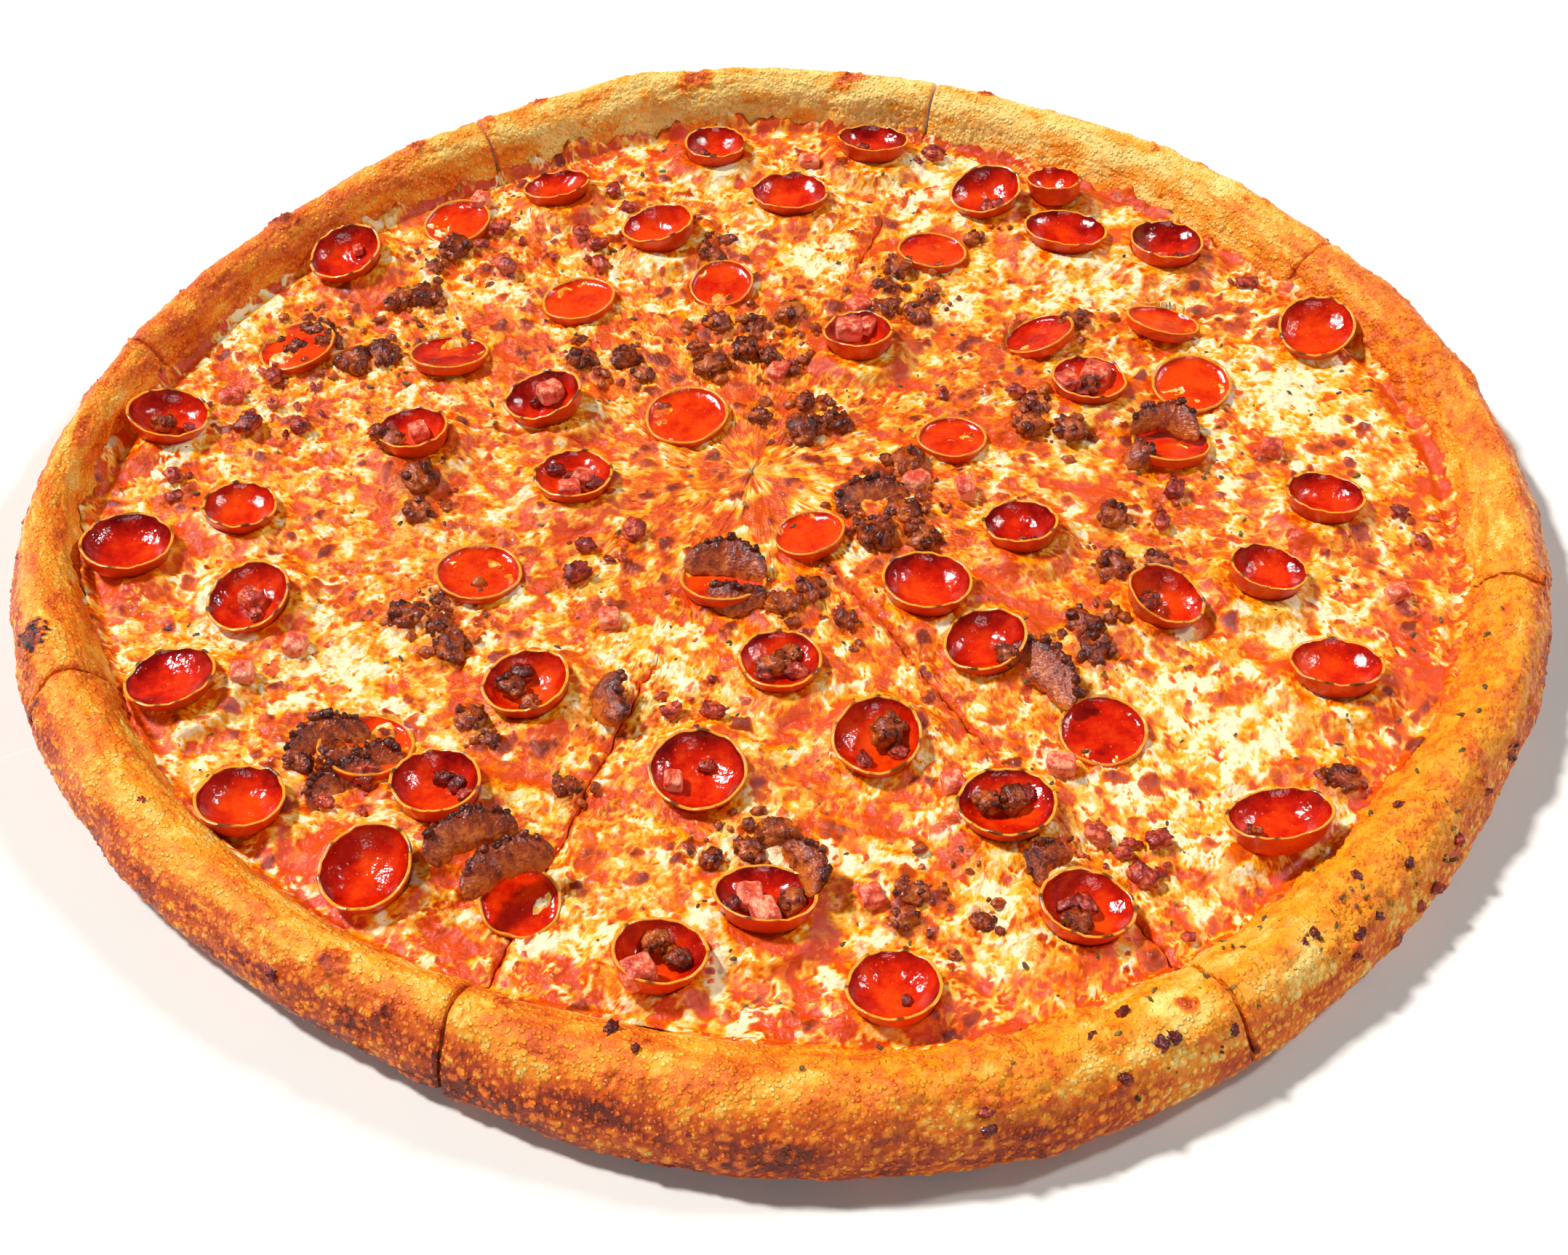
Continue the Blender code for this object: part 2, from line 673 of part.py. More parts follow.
def main():
    for obj in list(bpy.data.objects):
        bpy.data.objects.remove(obj)
    scene = bpy.context.scene
    parts = bpy.data.collections.new(COLLECTION)
    tools = bpy.data.collections.new(TOOL_COLLECTION)
    lumps = bpy.data.collections.new("toppings")
    for collection in (parts, tools, lumps):
        scene.collection.children.link(collection)
    crust = make_material("baked crust", (0.66, 0.33, 0.09), 0.55)
    cheese = make_material("melted cheese", (0.86, 0.55, 0.18), 0.35)
    pepperoni = make_material("pepperoni", (0.55, 0.05, 0.02), 0.3)
    sausage = make_material("sausage", (0.25, 0.11, 0.05), 0.5)

    whole_dough = make_whole_dough()
    whole_cheese = link(bpy.data.objects.new("whole_cheese", make_whole_cheese()), tools)
    whole_cheese.hide_render = True
    add_lumps(lumps)
    fuse(whole_cheese, lumps)
    pieces = []
    for index in range(len(CUT_ANGLES_DEG)):
        wedge, middle = make_wedge(index, tools)
        for layer, whole, material in (("crust", whole_dough, crust), ("cheese", whole_cheese.data, cheese)):
            name = f"slice_{index + 1}_{layer}"
            pieces.append(cut_slice(name, whole, index, wedge, middle, parts, material))
    bpy.data.objects.remove(whole_cheese)
    ground = ground_of(pieces)
    for index in range(len(CUPS)):
        make_cup(index, parts, pepperoni, ground)
    for index in range(len(SAUSAGE_PIECES)):
        make_sausage_piece(index, parts, sausage, ground)


main()
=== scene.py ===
"""A large round pizza with cupped pepperoni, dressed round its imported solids.

Lengths are in millimetres in the tables and the formulas, and a mesh gets them in metres.
Angles run anticlockwise from +X, seen from above, and -Y is the front.
"""

import functools
import itertools
import math
import random

import bpy
import numpy as np
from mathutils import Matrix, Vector


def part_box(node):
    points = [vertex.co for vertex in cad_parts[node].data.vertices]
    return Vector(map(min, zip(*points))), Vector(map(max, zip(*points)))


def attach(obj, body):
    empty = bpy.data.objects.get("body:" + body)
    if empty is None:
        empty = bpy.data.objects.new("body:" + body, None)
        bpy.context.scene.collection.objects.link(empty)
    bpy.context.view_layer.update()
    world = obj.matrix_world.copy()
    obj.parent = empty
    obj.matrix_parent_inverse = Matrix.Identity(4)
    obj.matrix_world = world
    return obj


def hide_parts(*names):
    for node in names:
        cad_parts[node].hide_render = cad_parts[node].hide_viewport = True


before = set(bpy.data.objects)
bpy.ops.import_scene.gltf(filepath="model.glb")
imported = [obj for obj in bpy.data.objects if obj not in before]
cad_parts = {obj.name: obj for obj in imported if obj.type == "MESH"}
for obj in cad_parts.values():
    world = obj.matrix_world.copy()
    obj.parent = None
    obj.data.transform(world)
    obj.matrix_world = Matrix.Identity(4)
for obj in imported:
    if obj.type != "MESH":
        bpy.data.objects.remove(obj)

bl_info = {
    "name": "Pepperoni pizza",
    "version": (1, 0, 0),
    "blender": (4, 5, 0),
    "location": "3D View > Sidebar > Pizza",
    "description": "Crust, cheese and toppings for a cut pizza",
    "category": "Add Mesh",
}

MM = 0.001
TAU = math.tau

# The dough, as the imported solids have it
BASE_TOP = 4.8
CHEESE_TOP = 8.2
REST_GAP = 0.3
RIM_LUMPS = 0.8

# One row for every 20 degrees: outer radius, inner edge of the rim, height of its crest
RIM_STATIONS = (
    (230.0, 204, 22), (229.0, 205, 22), (228.0, 201, 23), (228.5, 203, 24), (230.0, 206, 25),
    (231.0, 205, 26), (228.0, 202, 25), (226.0, 206, 23), (229.0, 210, 22), (232.0, 213, 22),
    (231.0, 204, 25), (225.5, 200, 25), (223.5, 197, 25), (228.5, 193, 26), (233.0, 200, 25),
    (230.5, 198, 22), (226.5, 196, 21), (227.0, 202, 21),
)

# The rim's section from the underside round to the cheese: how far in from the outer radius, in
# millimetres and as a share of the rim's width, then the height, as a share of the crest's and in
# millimetres
RIM_SECTION = (
    (11, 0, 0, 0),
    (3, 0, 0, 2.6),
    (0, 0, 0, 8),
    (0, 0.10, 0.66, 0),
    (0, 0.28, 0.92, 0),
    (0, 0.50, 1.00, 0),
    (0, 0.76, 0.84, 0),
    (0, 0.94, 0.52, 0),
    (1, 1, 0.32, 0),
    (7, 1, 0, BASE_TOP),
)
LAST_ROW = len(RIM_SECTION) - 1

# For the flat map of the skin: the rim's middle radius, about how far apart the section's rows are,
# and the angle at which the section is measured
RIM_RADIUS = 215
SECTION_STEP = 8.5
SECTION_ANGLE = 4.2

# Slow waves round the rim: how many, phase in radians, share of RIM_LUMPS
RIM_WAVES = ((5, 0.4, 0.6), (9, 2.1, 0.5), (14, 4.0, 0.45), (21, 1.2, 0.35))

# Large bubbles: direction in degrees, place across the rim, reach along it, rise
RIM_BUBBLES = ((16, 0.75, 15, 3.0), (199, 0.60, 10, 2.5), (104, 0.5, 18, 1.5), (268, 0.45, 20, 1.5))
BUBBLE_ROUNDNESS = 3.0

# How the rim is baked, every 20 degrees: its top and its side, from pale (0) to brown (1), and how
# far melted cheese has run over it
RIM_BAKING = (
    (0.34, 0.60, 0.25), (0.56, 0.58, 0.55), (0.24, 0.55, 0.10), (0.10, 0.45, 0.00),
    (0.06, 0.40, 0.00), (0.08, 0.40, 0.00), (0.22, 0.48, 0.05), (0.46, 0.56, 0.20),
    (0.44, 0.60, 0.15), (0.34, 0.58, 0.05), (0.36, 0.62, 0.00), (0.28, 0.66, 0.00),
    (0.30, 0.70, 0.00), (0.38, 0.70, 0.10), (0.40, 0.66, 0.70), (0.14, 0.50, 0.50),
    (0.34, 0.50, 0.95), (0.42, 0.60, 0.90),
)

# Browned blisters and dark specks on the rim: direction in degrees, place along the section, size,
# rise, and how dark
RIM_BLISTERS = (
    (238, 4.6, 8, 1.3, 0.75), (243, 3.4, 6, 1.0, 0.85), (233, 3.9, 3.5, 0.8, 0.7),
    (250, 5.6, 5, 0.9, 0.75), (262, 5.4, 3.5, 0.6, 0.6), (198, 4.2, 11, 1.5, 1.0),
    (203, 3.2, 5, 0.8, 0.95), (14, 6.0, 12, 1.4, 0.62), (20, 5.2, 7, 1.0, 0.6),
    (34, 3.0, 7, -0.8, 1.0), (84, 5.0, 9, 0.5, 0.6), (99, 5.2, 10, 0.5, 0.62),
    (71, 4.4, 4, 0.6, 0.8), (114, 4.4, 5, 0.6, 0.7), (127, 4.8, 6, 0.7, 0.7),
    (143, 4.4, 7, 0.8, 0.72), (155, 4.2, 5, 0.8, 0.75), (284, 5.6, 9, 1.2, 0.6),
    (291, 6.2, 7, 1.0, 0.58), (297, 4.9, 4, 0.8, 0.75), (322, 4.8, 4, 0.8, 0.68),
    (328, 3.4, 5, 0.6, 0.95), (333, 3.0, 6, 0.6, 1.0), (338, 4.9, 4, 0.8, 0.7),
    (350, 3.6, 4, 0.6, 0.75), (42, 5.2, 3.5, 0.5, 0.6), (53, 5.0, 3, 0.5, 0.55),
    (183, 3.0, 4, 0.4, 0.8), (176, 2.8, 4, 0.4, 0.8), (167, 3.2, 5, 0.5, 0.7),
)

# The four cuts cross a little off the middle
CUT_CENTRE = np.array((-11.0, 17.5))
CUT_ANGLES_DEG = (27.7, 71.4, 120.3, 165.8, 207.7, 251.4, 300.3, 345.8)
CUT_WIDTH = 0.7
SLICE_SHIFT = (0.3, 0.9, 0.2, 0.7, 0.4, 1.1, 0.5, 0.8)
SLICES = len(CUT_ANGLES_DEG)

# Cups that stand free: x, y, diameter, depth, then tilt in degrees, the direction that the mouth
# leans to, and the share by which the cup is longer along that direction
CUPS = (
    (-26, 188, 24, 7, 8, 80, 0.06), (1, 161, 26, 6, 4, 90, -0.06),
    (-81, 163, 23, 6, 12, 120, -0.08), (-43, 137, 25, 8, 14, 160, 0.04),
    (-150, 124, 25, 7, 12, 230, 0.05), (-76, 46, 24, 8, 14, 190, 0.08),
    (-197, 38, 25, 7, 12, 10, 0.04), (-117, 30, 24, 7, 12, 130, 0.06),
    (-66, 11, 25, 6, 6, 100, 0.02), (-167, -3, 23, 6, 6, 60, 0.00), (-198, -21, 28, 7, 8, 60, 0.02),
    (-157, -42, 25, 6, 12, 235, 0.05), (-174, -76, 27, 5, 12, 140, 0.02),
    (-73, -77, 25, 7, 8, 190, 0.03), (-2, -68, 25, 6, 6, 100, 0.02),
    (-148, -121, 25, 7, 8, 60, 0.02), (-95, -116, 26, 8, 8, 110, 0.04),
    (-24, -109, 27, 6, 10, 240, -0.04), (-110, -144, 26, 8, 10, 245, 0.05),
    (-34, -173, 24, 8, 12, 20, 0.07), (-6, -155, 26, 7, 14, 80, -0.08),
    (41, -37, 27, 7, 6, 75, 0.00), (71, -13, 23, 7, 12, 130, 0.05), (164, 0, 24, 7, 10, 70, -0.03),
    (141, -33, 24, 7, 14, 40, 0.04), (109, -43, 23, 7, 16, 340, 0.05),
    (58, -61, 24, 7, 12, 200, 0.04), (156, -72, 26, 7, 12, 85, -0.06),
    (25, -97, 26, 7, 8, 250, 0.03), (59, -123, 27, 6, 6, 100, -0.02),
    (132, -130, 27, 8, 18, 110, -0.10), (76, -157, 25, 7, 12, 10, 0.05),
    (27, -182, 25, 6, 8, 110, 0.00), (31, 189, 25, 7, 12, 80, -0.06),
    (71, 160, 25, 7, 12, 210, 0.03), (95, 162, 21, 8, 16, 110, 0.10),
    (96, 137, 28, 6, 10, 70, -0.04), (130, 129, 27, 7, 10, 60, 0.05),
    (175, 84, 26, 6, 12, 240, 0.05), (24, 78, 24, 8, 12, 120, 0.06), (97, 57, 25, 6, 8, 60, 0.02),
)

# Slices that the cheese or the sausage has half buried: x, y, diameter, tilt, direction
BURIED_SLICES = (
    (-115, 147, 24, 8, 200), (-70, 103, 25, 8, 150), (-22, 112, 22, 10, 230),
    (-161, 78, 26, 12, 170), (-111, 74, 26, 16, 90), (-32, 43, 27, 6, 200), (-92, -29, 26, 6, 60),
    (-19, -32, 26, 14, 90), (-117, -98, 27, 10, 60), (-70, -152, 22, 10, 300),
    (88, -92, 25, 5, 250), (50, 130, 24, 8, 60), (84, 84, 24, 24, 150), (125, 91, 25, 20, 60),
    (131, 59, 26, 6, 250), (121, 29, 25, 14, 90), (52, 32, 22, 6, 90), (7, -12, 22, 12, 150),
)

# Half of such a slice's section: share of its radius, and height
BURIED_SECTION = (
    (0.5, -1.8),
    (0.85, -1.7),
    (0.95, -0.6),
    (0.99, 1.0),
    (1.0, 2.0),
    (0.985, 2.35),
    (0.95, 2.4),
    (0.92, 2.1),
    (0.88, 1.5),
    (0.80, 1.0),
    (0.65, 0.75),
    (0.5, 0.7),
    (0.3, 0.8),
    (0.12, 0.9),
)

# What lies in the cups, by kind: which cup, x and y from the cup's middle, size across
CUP_FILLINGS = {
    "sausage": (
        (7, -1, -2, 8), (8, -6, -4, 10), (8, -10, -3, 7), (14, -5, 1, 9), (14, 1, -6, 7),
        (15, -2, 0, 10), (15, 3, 5, 7), (20, -1, 6, 8), (20, 5, 2, 8), (21, 7, 0, 9),
        (26, -3, 0, 7), (27, 6, -6, 8), (29, 3, 3, 12), (30, -5, 2, 9), (30, 2, 3, 10),
        (31, -7, -1, 5), (32, -3, -6, 10), (41, 0, -1, 9),
    ),
    "bacon": (
        (1, -5, -3, 5), (1, 0, -6, 4), (6, -4, 3, 4), (7, 7, -2, 4), (9, -6, 5, 5), (9, 7, -3, 5),
        (9, -2, 3, 4), (12, 2, -5, 5), (14, -2, 6, 6), (15, 5, -3, 6), (15, -5, -4, 5),
        (17, 1, 6, 5), (17, 5, 3, 5), (17, 8, -2, 4), (18, 2, 3, 4), (21, -9, -3, 5),
        (23, 0, -7, 4), (23, 4, -7, 3), (26, -6, -3, 6), (29, -4, -6, 5), (29, 6, -4, 5),
        (30, 5, 5, 6), (32, 1, 3, 6), (32, -4, 2, 5), (33, 3, -2, 3), (34, -5, -4, 6),
        (34, 0, -5, 4), (35, 0, -6, 6), (35, 4, -6, 5), (38, 4, -6, 4), (41, -3, -5, 5),
    ),
    "ham": (
        (5, 3, 4, 4), (6, 1, 5, 8), (8, 1, 3, 7), (9, -1, -5, 7), (9, 3, 1, 7), (12, 0, 1, 7),
        (18, -7, -2, 6), (20, -5, -6, 9), (21, -4, 2, 8), (21, 0, -4, 8), (38, -2, -7, 4),
        (40, -3, 6, 9), (40, 3, 7, 6), (41, 3, 5, 9), (41, -7, -2, 8),
    ),
}

# Burnt crumbs on the crust: direction in degrees, place along the section, size
CRUST_CHIPS = (
    (217, 5.0, 3), (234, 3.0, 6), (258, 5.5, 5), (260, 5.0, 3), (322, 5.5, 5), (321, 5.5, 3),
    (318, 4.0, 4), (313, 3.5, 4), (311, 3.5, 5), (310, 3.0, 4), (308, 4.5, 4), (307, 4.5, 3),
    (314, 5.0, 4), (328, 3.0, 4), (294, 4.0, 5), (295, 4.0, 5), (290, 5.0, 4), (293, 5.5, 4),
    (299, 3.5, 5), (282, 3.5, 4), (282, 3.0, 5), (291, 3.5, 5), (264, 3.0, 3), (319, 2.5, 5),
    (317, 2.5, 4), (323, 3.0, 5),
)

# Curled strips of sausage: x and y of one end and the other, bow to the left, width, height, and
# how far the middle lies above the cheese
SAUSAGE_STRIPS = (
    (-0.5, -136, 7, -154, 3, 8, 7, 6.5), (65, -149, 75, -138, 4, 9, 5, 5.5),
    (-138, -104, -116, -93, 5, 9, 5, 2.5), (-130, -120, -110, -108, 4, 10, 5, 1.0),
    (-122, -108, -106, -102, 2, 9, 4, 1.5), (-31, -26, -6, -31, 5, 10, 6, 3.0),
    (-24, -38, -6, -40, -3, 8, 5, 2.5), (15, 0, 38, 6, 4, 10, 5, 0.5),
    (20, -9, 34, -5, -3, 9, 5, 0.0), (108, 34, 130, 31, 8, 9, 6, 4.0),
    (108, 27, 114, 20, -2, 8, 5, 3.0),
)

# The largest pieces of sausage: x, y, length
SAUSAGE_PIECES = ((-78, -143, 36), (75, -75, 25), (-49, -82, 20))

# The strips that each of them is made of, in the same form, but with the last measured from the
# middle of the solid
PIECE_STRIPS = (
    ((-95, -145, -71, -134, 4, 9, 6, 1.5), (-84, -157, -61, -142, 4, 9, 8, 1.0)),
    ((63, -63, 80, -86, 4, 10, 5, 0.2),),
    ((-51, -73, -47, -92, -2, 8, 7, 0.5),),
)

# Where the crumbled sausage, the bacon and the diced ham lie: x, y, spread, count
SAUSAGE_PATCHES = (
    (-146, 88, 22, 5), (-118, 112, 20, 4), (-12, 82, 20, 7), (-58, 72, 14, 3), (4, 42, 14, 4),
    (32, 2, 20, 5), (38, 108, 18, 5), (72, 144, 10, 1), (-30, 134, 12, 2), (-112, 8, 12, 2),
    (-100, -44, 16, 4), (-128, -106, 12, 3), (-57, -112, 6, 1), (-14, -132, 12, 3),
    (14, -42, 16, 3), (102, 92, 8, 1), (100, -16, 14, 3), (88, -52, 10, 2), (40, -152, 16, 3),
    (86, 38, 14, 3), (155, -110, 4, 1), (-84, -90, 8, 2),
)
BACON_PATCHES = (
    (-165, 50, 18, 4), (-90, 186, 20, 3), (-104, 134, 18, 3), (-70, 132, 14, 3), (-185, 8, 12, 2),
    (-50, -22, 18, 3), (-118, -120, 14, 2), (88, -136, 12, 4), (108, -168, 6, 2), (18, -192, 9, 2),
    (50, -192, 6, 2), (160, 112, 10, 2), (190, -8, 8, 2), (118, 2, 12, 2), (-30, -82, 12, 2),
    (46, 190, 8, 2), (60, 60, 16, 1), (-60, 158, 12, 2),
)
HAM_DICE = (
    (8, 184), (35, 166), (24, 100), (-63, 200), (-120, 164), (-108, 158), (-179, 53), (-128, 50),
    (-3, 66), (152, 26), (165, 106), (55, 8), (40, 12), (-142, -59), (-155, -72), (22, -150),
    (45, -113), (75, -106), (-63, -124), (180, -38), (-52, -48), (-72, -14), (55, -188),
)
SCATTERS = (("sausage", SAUSAGE_PATCHES, 7, 14), ("bacon", BACON_PATCHES, 5, 9))
HAM_DIE = 7.5
CRUMB_SPACING = 9
CUT_MARGIN = 5.5
CUP_MARGIN = 6.5
RIM_MARGIN = 9
TRIES = 40

# Places in the cheese: x, y, reach
WHITE_PATCHES = (
    (50, 172, 17), (160, 55, 24), (-185, 97, 14), (-190, 28, 9), (100, 114, 14), (114, -88, 20),
    (55, -153, 12), (-6, -140, 9), (-15, -190, 9), (-165, -50, 9), (-60, -160, 12), (-20, 170, 12),
    (150, -52, 12), (10, 130, 12), (-130, -70, 13), (-40, -60, 14), (92, -118, 14), (-100, 110, 12),
    (60, 100, 10), (130, -100, 14),
)
SAUCE_PATCHES = (
    (-197, 85, 13), (-205, 20, 9), (-200, -35, 9), (-135, -150, 20), (-100, -172, 14),
    (-170, -122, 12), (0, -190, 14), (42, -192, 14), (-79, -183, 8), (-60, -175, 8), (104, -176, 7),
    (180, -60, 7), (-40, 195, 7),
)
OILY_PATCHES = (
    (-20, 60, 45), (30, -10, 40), (-40, -20, 35), (60, 60, 30), (-120, 20, 25), (-80, 80, 30),
    (120, -10, 25), (-140, 100, 22), (80, -45, 20),
)

CRUST_COLUMNS = 270
CRUST_ROWS = 110
CHEESE_COLUMNS = 230
CHEESE_STEPS = 230
CHEESE_SPREAD = 0.3

# How far the cheese reaches from the middle on average, and how softly it laps on to the rim
CHEESE_RADIUS = 205
LAP_BLEND = 1.2

# Where the cut still shows in the cheese: which cut, and from where to where along it
OPEN_SEAMS = ((5, 90, 260), (6, 38, 130), (6, 196, 260), (1, 115, 140), (3, 60, 95), (0, 150, 175))
EDGE_CROWDING = 0.4

PACKED_SIDES = 12
CUP_AROUND = 64
CUP_ROWS = 36
BURIED_ROWS = 26
STRIP_ROWS = 48
STRIP_AROUND = 32
LUMP_ROWS = 14
LUMP_AROUND = 20
DIE_ROWS = 18
DIE_AROUND = 28
CRUMB_ROWS = 6
CRUMB_AROUND = 9
KNOB_ROWS = 7
KNOB_AROUND = 11
HERB_ROWS = 3
HERB_AROUND = 7

# How many flecks of herb, and where those on the crust are: direction and spread in degrees
CHEESE_HERBS = 520
CRUST_HERBS = 70
CRUST_HERBS_WAY = 312
CRUST_HERBS_SPREAD = 17

# The photograph's viewpoint
CAMERA_PLACE = (-0.001, -0.5335, 0.5017)
CAMERA_PITCH_DEG = 45.53
FOCAL_PIXELS = 3249
IMAGE_WIDTH = 2156
SENSOR_WIDTH = 36.0

# Half the floor's width, in metres
FLOOR_REACH = 40.0

# How many shuffled numbers a noise pattern has before it comes round again
TABLE = 256


def polar(radius, angle):
    """Points x, y at a radius and an angle."""
    return np.stack((radius * np.cos(angle), radius * np.sin(angle)), -1)


def circle(sides):
    """Points x, y of a unit circle."""
    return polar(1, np.arange(sides) * TAU / sides)


def leaned(tilt, direction):
    """Axes turned about z to a direction in degrees, then tilted by so many degrees that way."""
    lean, way = math.radians(tilt), math.radians(direction)
    c, s = math.cos(way), math.sin(way)
    spin = np.array(((c, -s, 0), (s, c, 0), (0, 0, 1)))
    c, s = math.cos(lean), math.sin(lean)
    return spin @ ((c, 0, s), (0, 1, 0), (-s, 0, c))


def smooth(low, high, value):
    """The S-curve of a value's share of the way from low to high: three squares less two cubes."""
    t = np.clip((value - low) / (high - low), 0, 1)
    return t * t * (3 - 2 * t)


@functools.lru_cache(maxsize=None)
def lattice(seed):
    """A shuffled index, unit directions and plain random numbers for one pattern."""
    rng = np.random.default_rng(seed)
    order = rng.permutation(TABLE)
    directions = rng.normal(size=(TABLE, 3))
    directions /= np.linalg.norm(directions, axis=1, keepdims=True)
    return order, directions.astype(np.float32), rng.random((TABLE, 5)).astype(np.float32)


def noise(points, seed):
    """Gradient noise, about -1 to 1.

    At each corner of a point's lattice cell, a fixed direction times the offset from that corner.
    The corners are blended by a smooth curve of the point's share of the way across the cell: ten
    cubes, less fifteen fourth powers, plus six fifth powers.
    """
    order, directions, _ = lattice(seed)
    axes = points.shape[1]
    cell = np.floor(points).astype(np.int64)
    part = (points - cell).astype(np.float32)
    ease = part**3 * (part * (part * 6 - 15) + 10)
    total = np.zeros(len(points), np.float32)
    for corner in itertools.product((0, 1), repeat=axes):
        index = 0
        weight = np.float32(1)
        for axis, step in enumerate(corner):
            index = order[(index + cell[:, axis] + step) & (TABLE - 1)]
            weight = weight * (ease[:, axis] if step else 1 - ease[:, axis])
        offset = part - np.array(corner, np.float32)
        total += weight * (directions[index, :axes] * offset).sum(1)
    return total * (2.0 if axes == 2 else 1.5)


def fractal(points, octaves, seed, gain=0.5):
    """Noise in octaves: each has twice the frequency and gain times the height of the last."""
    total = 0.0
    for octave in range(octaves):
        total = total + gain**octave * noise(points * 2**octave + 11.7 * octave, seed + octave)
    return total


def domes(points, spacing, smallest, largest, share, seed):
    """Round blisters, one in some cells of a square lattice.

    A blister's height is one less the square of the distance from its middle over its radius. Gives
    the highest at each point, nought outside them all, and that blister's own random number.
    """
    order, _, numbers = lattice(seed)
    scaled = points / spacing
    cell = np.floor(scaled).astype(np.int64)
    height = np.zeros(len(points), np.float32)
    own = np.zeros(len(points), np.float32)
    for step in itertools.product((-1, 0, 1), repeat=2):
        i, j = cell[:, 0] + step[0], cell[:, 1] + step[1]
        pick = numbers[order[(order[i & (TABLE - 1)] + j) & (TABLE - 1)]]
        away = (scaled[:, 0] - i - pick[:, 0]) ** 2 + (scaled[:, 1] - j - pick[:, 1]) ** 2
        radius = (smallest + (largest - smallest) * pick[:, 2] ** 2) / spacing
        dome = np.where(pick[:, 3] < share, 1 - away / radius**2, 0)
        higher = dome > height
        height = np.where(higher, dome, height)
        own = np.where(higher, pick[:, 4], own)
    return height, own


def patches(x, y, table):
    """The highest of the bell curves round the table's points, each as wide as its reach."""
    best = np.zeros_like(x)
    for px, py, reach in table:
        best = np.maximum(best, np.exp(-((x - px) ** 2 + (y - py) ** 2) / reach**2))
    return best


def between(t, rows):
    """The Catmull-Rom curve from the second to the third of four rows, at a share t of the way."""
    a, b, c, d = rows
    t = t[..., None]
    return b + 0.5 * t * (c - a + t * (2 * a - 5 * b + 4 * c - d + t * (3 * (b - c) + d - a)))


def through(table, place):
    """A smooth curve through the rows of a table, at places along it."""
    table = np.asarray(table, float)
    index = np.clip(np.floor(place).astype(int), 0, len(table) - 2)
    rows = (table[np.clip(index + k, 0, len(table) - 1)] for k in (-1, 0, 1, 2))
    return between(place - index, rows)


def round_rim(table, angle):
    """A smooth closed curve through a table's rows, which stand at equal angles round the rim."""
    table = np.asarray(table, float)
    place = (angle / TAU % 1.0) * len(table)
    index = np.floor(place).astype(int)
    rows = (table[(index + k) % len(table)] for k in (-1, 0, 1, 2))
    return between(place - index, rows)


def rim_point(angle, place):
    """Radius and height of the rim at an angle and a place along its section (0 to LAST_ROW).

    The section's rows are measured in from the outer radius and up to the crest, then the slow
    waves and the large bubbles are added between the foot and the cheese.
    """
    outer, inner, crest = np.moveaxis(round_rim(RIM_STATIONS, angle), -1, 0)
    inwards, share, up, rise = np.moveaxis(through(RIM_SECTION, place), -1, 0)
    radius = outer - inwards - share * (outer - inner)
    height = up * crest + rise
    free = np.clip(place - 1, 0, 1) * np.clip(8 - place, 0, 1)
    along = (place - 1) / 7
    for turns, phase, share in RIM_WAVES:
        radius = radius + free * RIM_LUMPS * share * np.cos(turns * angle + phase + 2 * along)
        height = height + free * RIM_LUMPS * share * np.sin(turns * angle + phase - 3 * along)
    for degrees, spot, across, swell in RIM_BUBBLES:
        beside = around(angle - math.radians(degrees)) * radius / across
        ahead = (along - spot) * BUBBLE_ROUNDNESS
        height = height + free * swell * np.exp(-(beside**2) - ahead**2)
    return radius, np.maximum(height, 0)


def on_rim(angle, place):
    """Points x, y, z of the rim at angles and places along its section."""
    radius, height = rim_point(angle, place)
    return np.concatenate((polar(radius, angle), height[..., None]), -1)


def around(angle):
    """An angle brought to within half a turn of nought."""
    return (angle + math.pi) % TAU - math.pi


def wedge(index):
    """One slice's low and high cut in radians, its tip, and how far it was moved out."""
    low, high = (math.radians(CUT_ANGLES_DEG[(index + k) % SLICES]) for k in (0, 1))
    high += TAU if high < low else 0.0
    middle = (low + high) / 2
    out = np.array((math.cos(middle), math.sin(middle)))
    tip = CUT_CENTRE + out * CUT_WIDTH / 2 / math.sin((high - low) / 2)
    return low, high, tip, out * SLICE_SHIFT[index]


def reach_to(radius, tip, bearing):
    """How far from the tip a ray has to go to be at that radius from the pizza's middle."""
    ahead = tip[0] * np.cos(bearing) + tip[1] * np.sin(bearing)
    return -ahead + np.sqrt(ahead**2 - tip @ tip + radius**2)


def cut_distance(x, y, tip, low, high):
    """How far points are from the nearer of a slice's two cuts."""
    beside = [
        np.abs(np.cos(angle) * (y - tip[1]) - np.sin(angle) * (x - tip[0])) for angle in (low, high)
    ]
    return np.minimum(*beside)


def crowded(count):
    """Shares from 0 to 1 that stand closer together at both ends."""
    share = np.linspace(0, 1, count)
    return share - EDGE_CROWDING * np.sin(TAU * share) / TAU


def grid_faces(rows, columns):
    """Quads of a grid whose points run along its columns first."""
    corner = (np.arange(rows - 1)[:, None] * columns + np.arange(columns - 1)).ravel()
    return np.stack((corner, corner + 1, corner + columns + 1, corner + columns), 1)


def tube_faces(rows, sides):
    """Faces of a closed form: a first pole, rings of points, and a last pole."""
    k = np.arange(sides)
    n = (k + 1) % sides
    ring = 1 + sides * np.arange(rows - 1)[:, None]
    quads = np.stack((ring + k, ring + n, ring + sides + n, ring + sides + k), -1).reshape(-1, 4)
    last = 1 + sides * (rows - 1)
    first_cap = np.stack((np.zeros_like(k), 1 + n, 1 + k), 1)
    last_cap = np.stack((last + k, last + n, np.full_like(k, last + sides)), 1)
    return quads, np.concatenate((first_cap, last_cap))


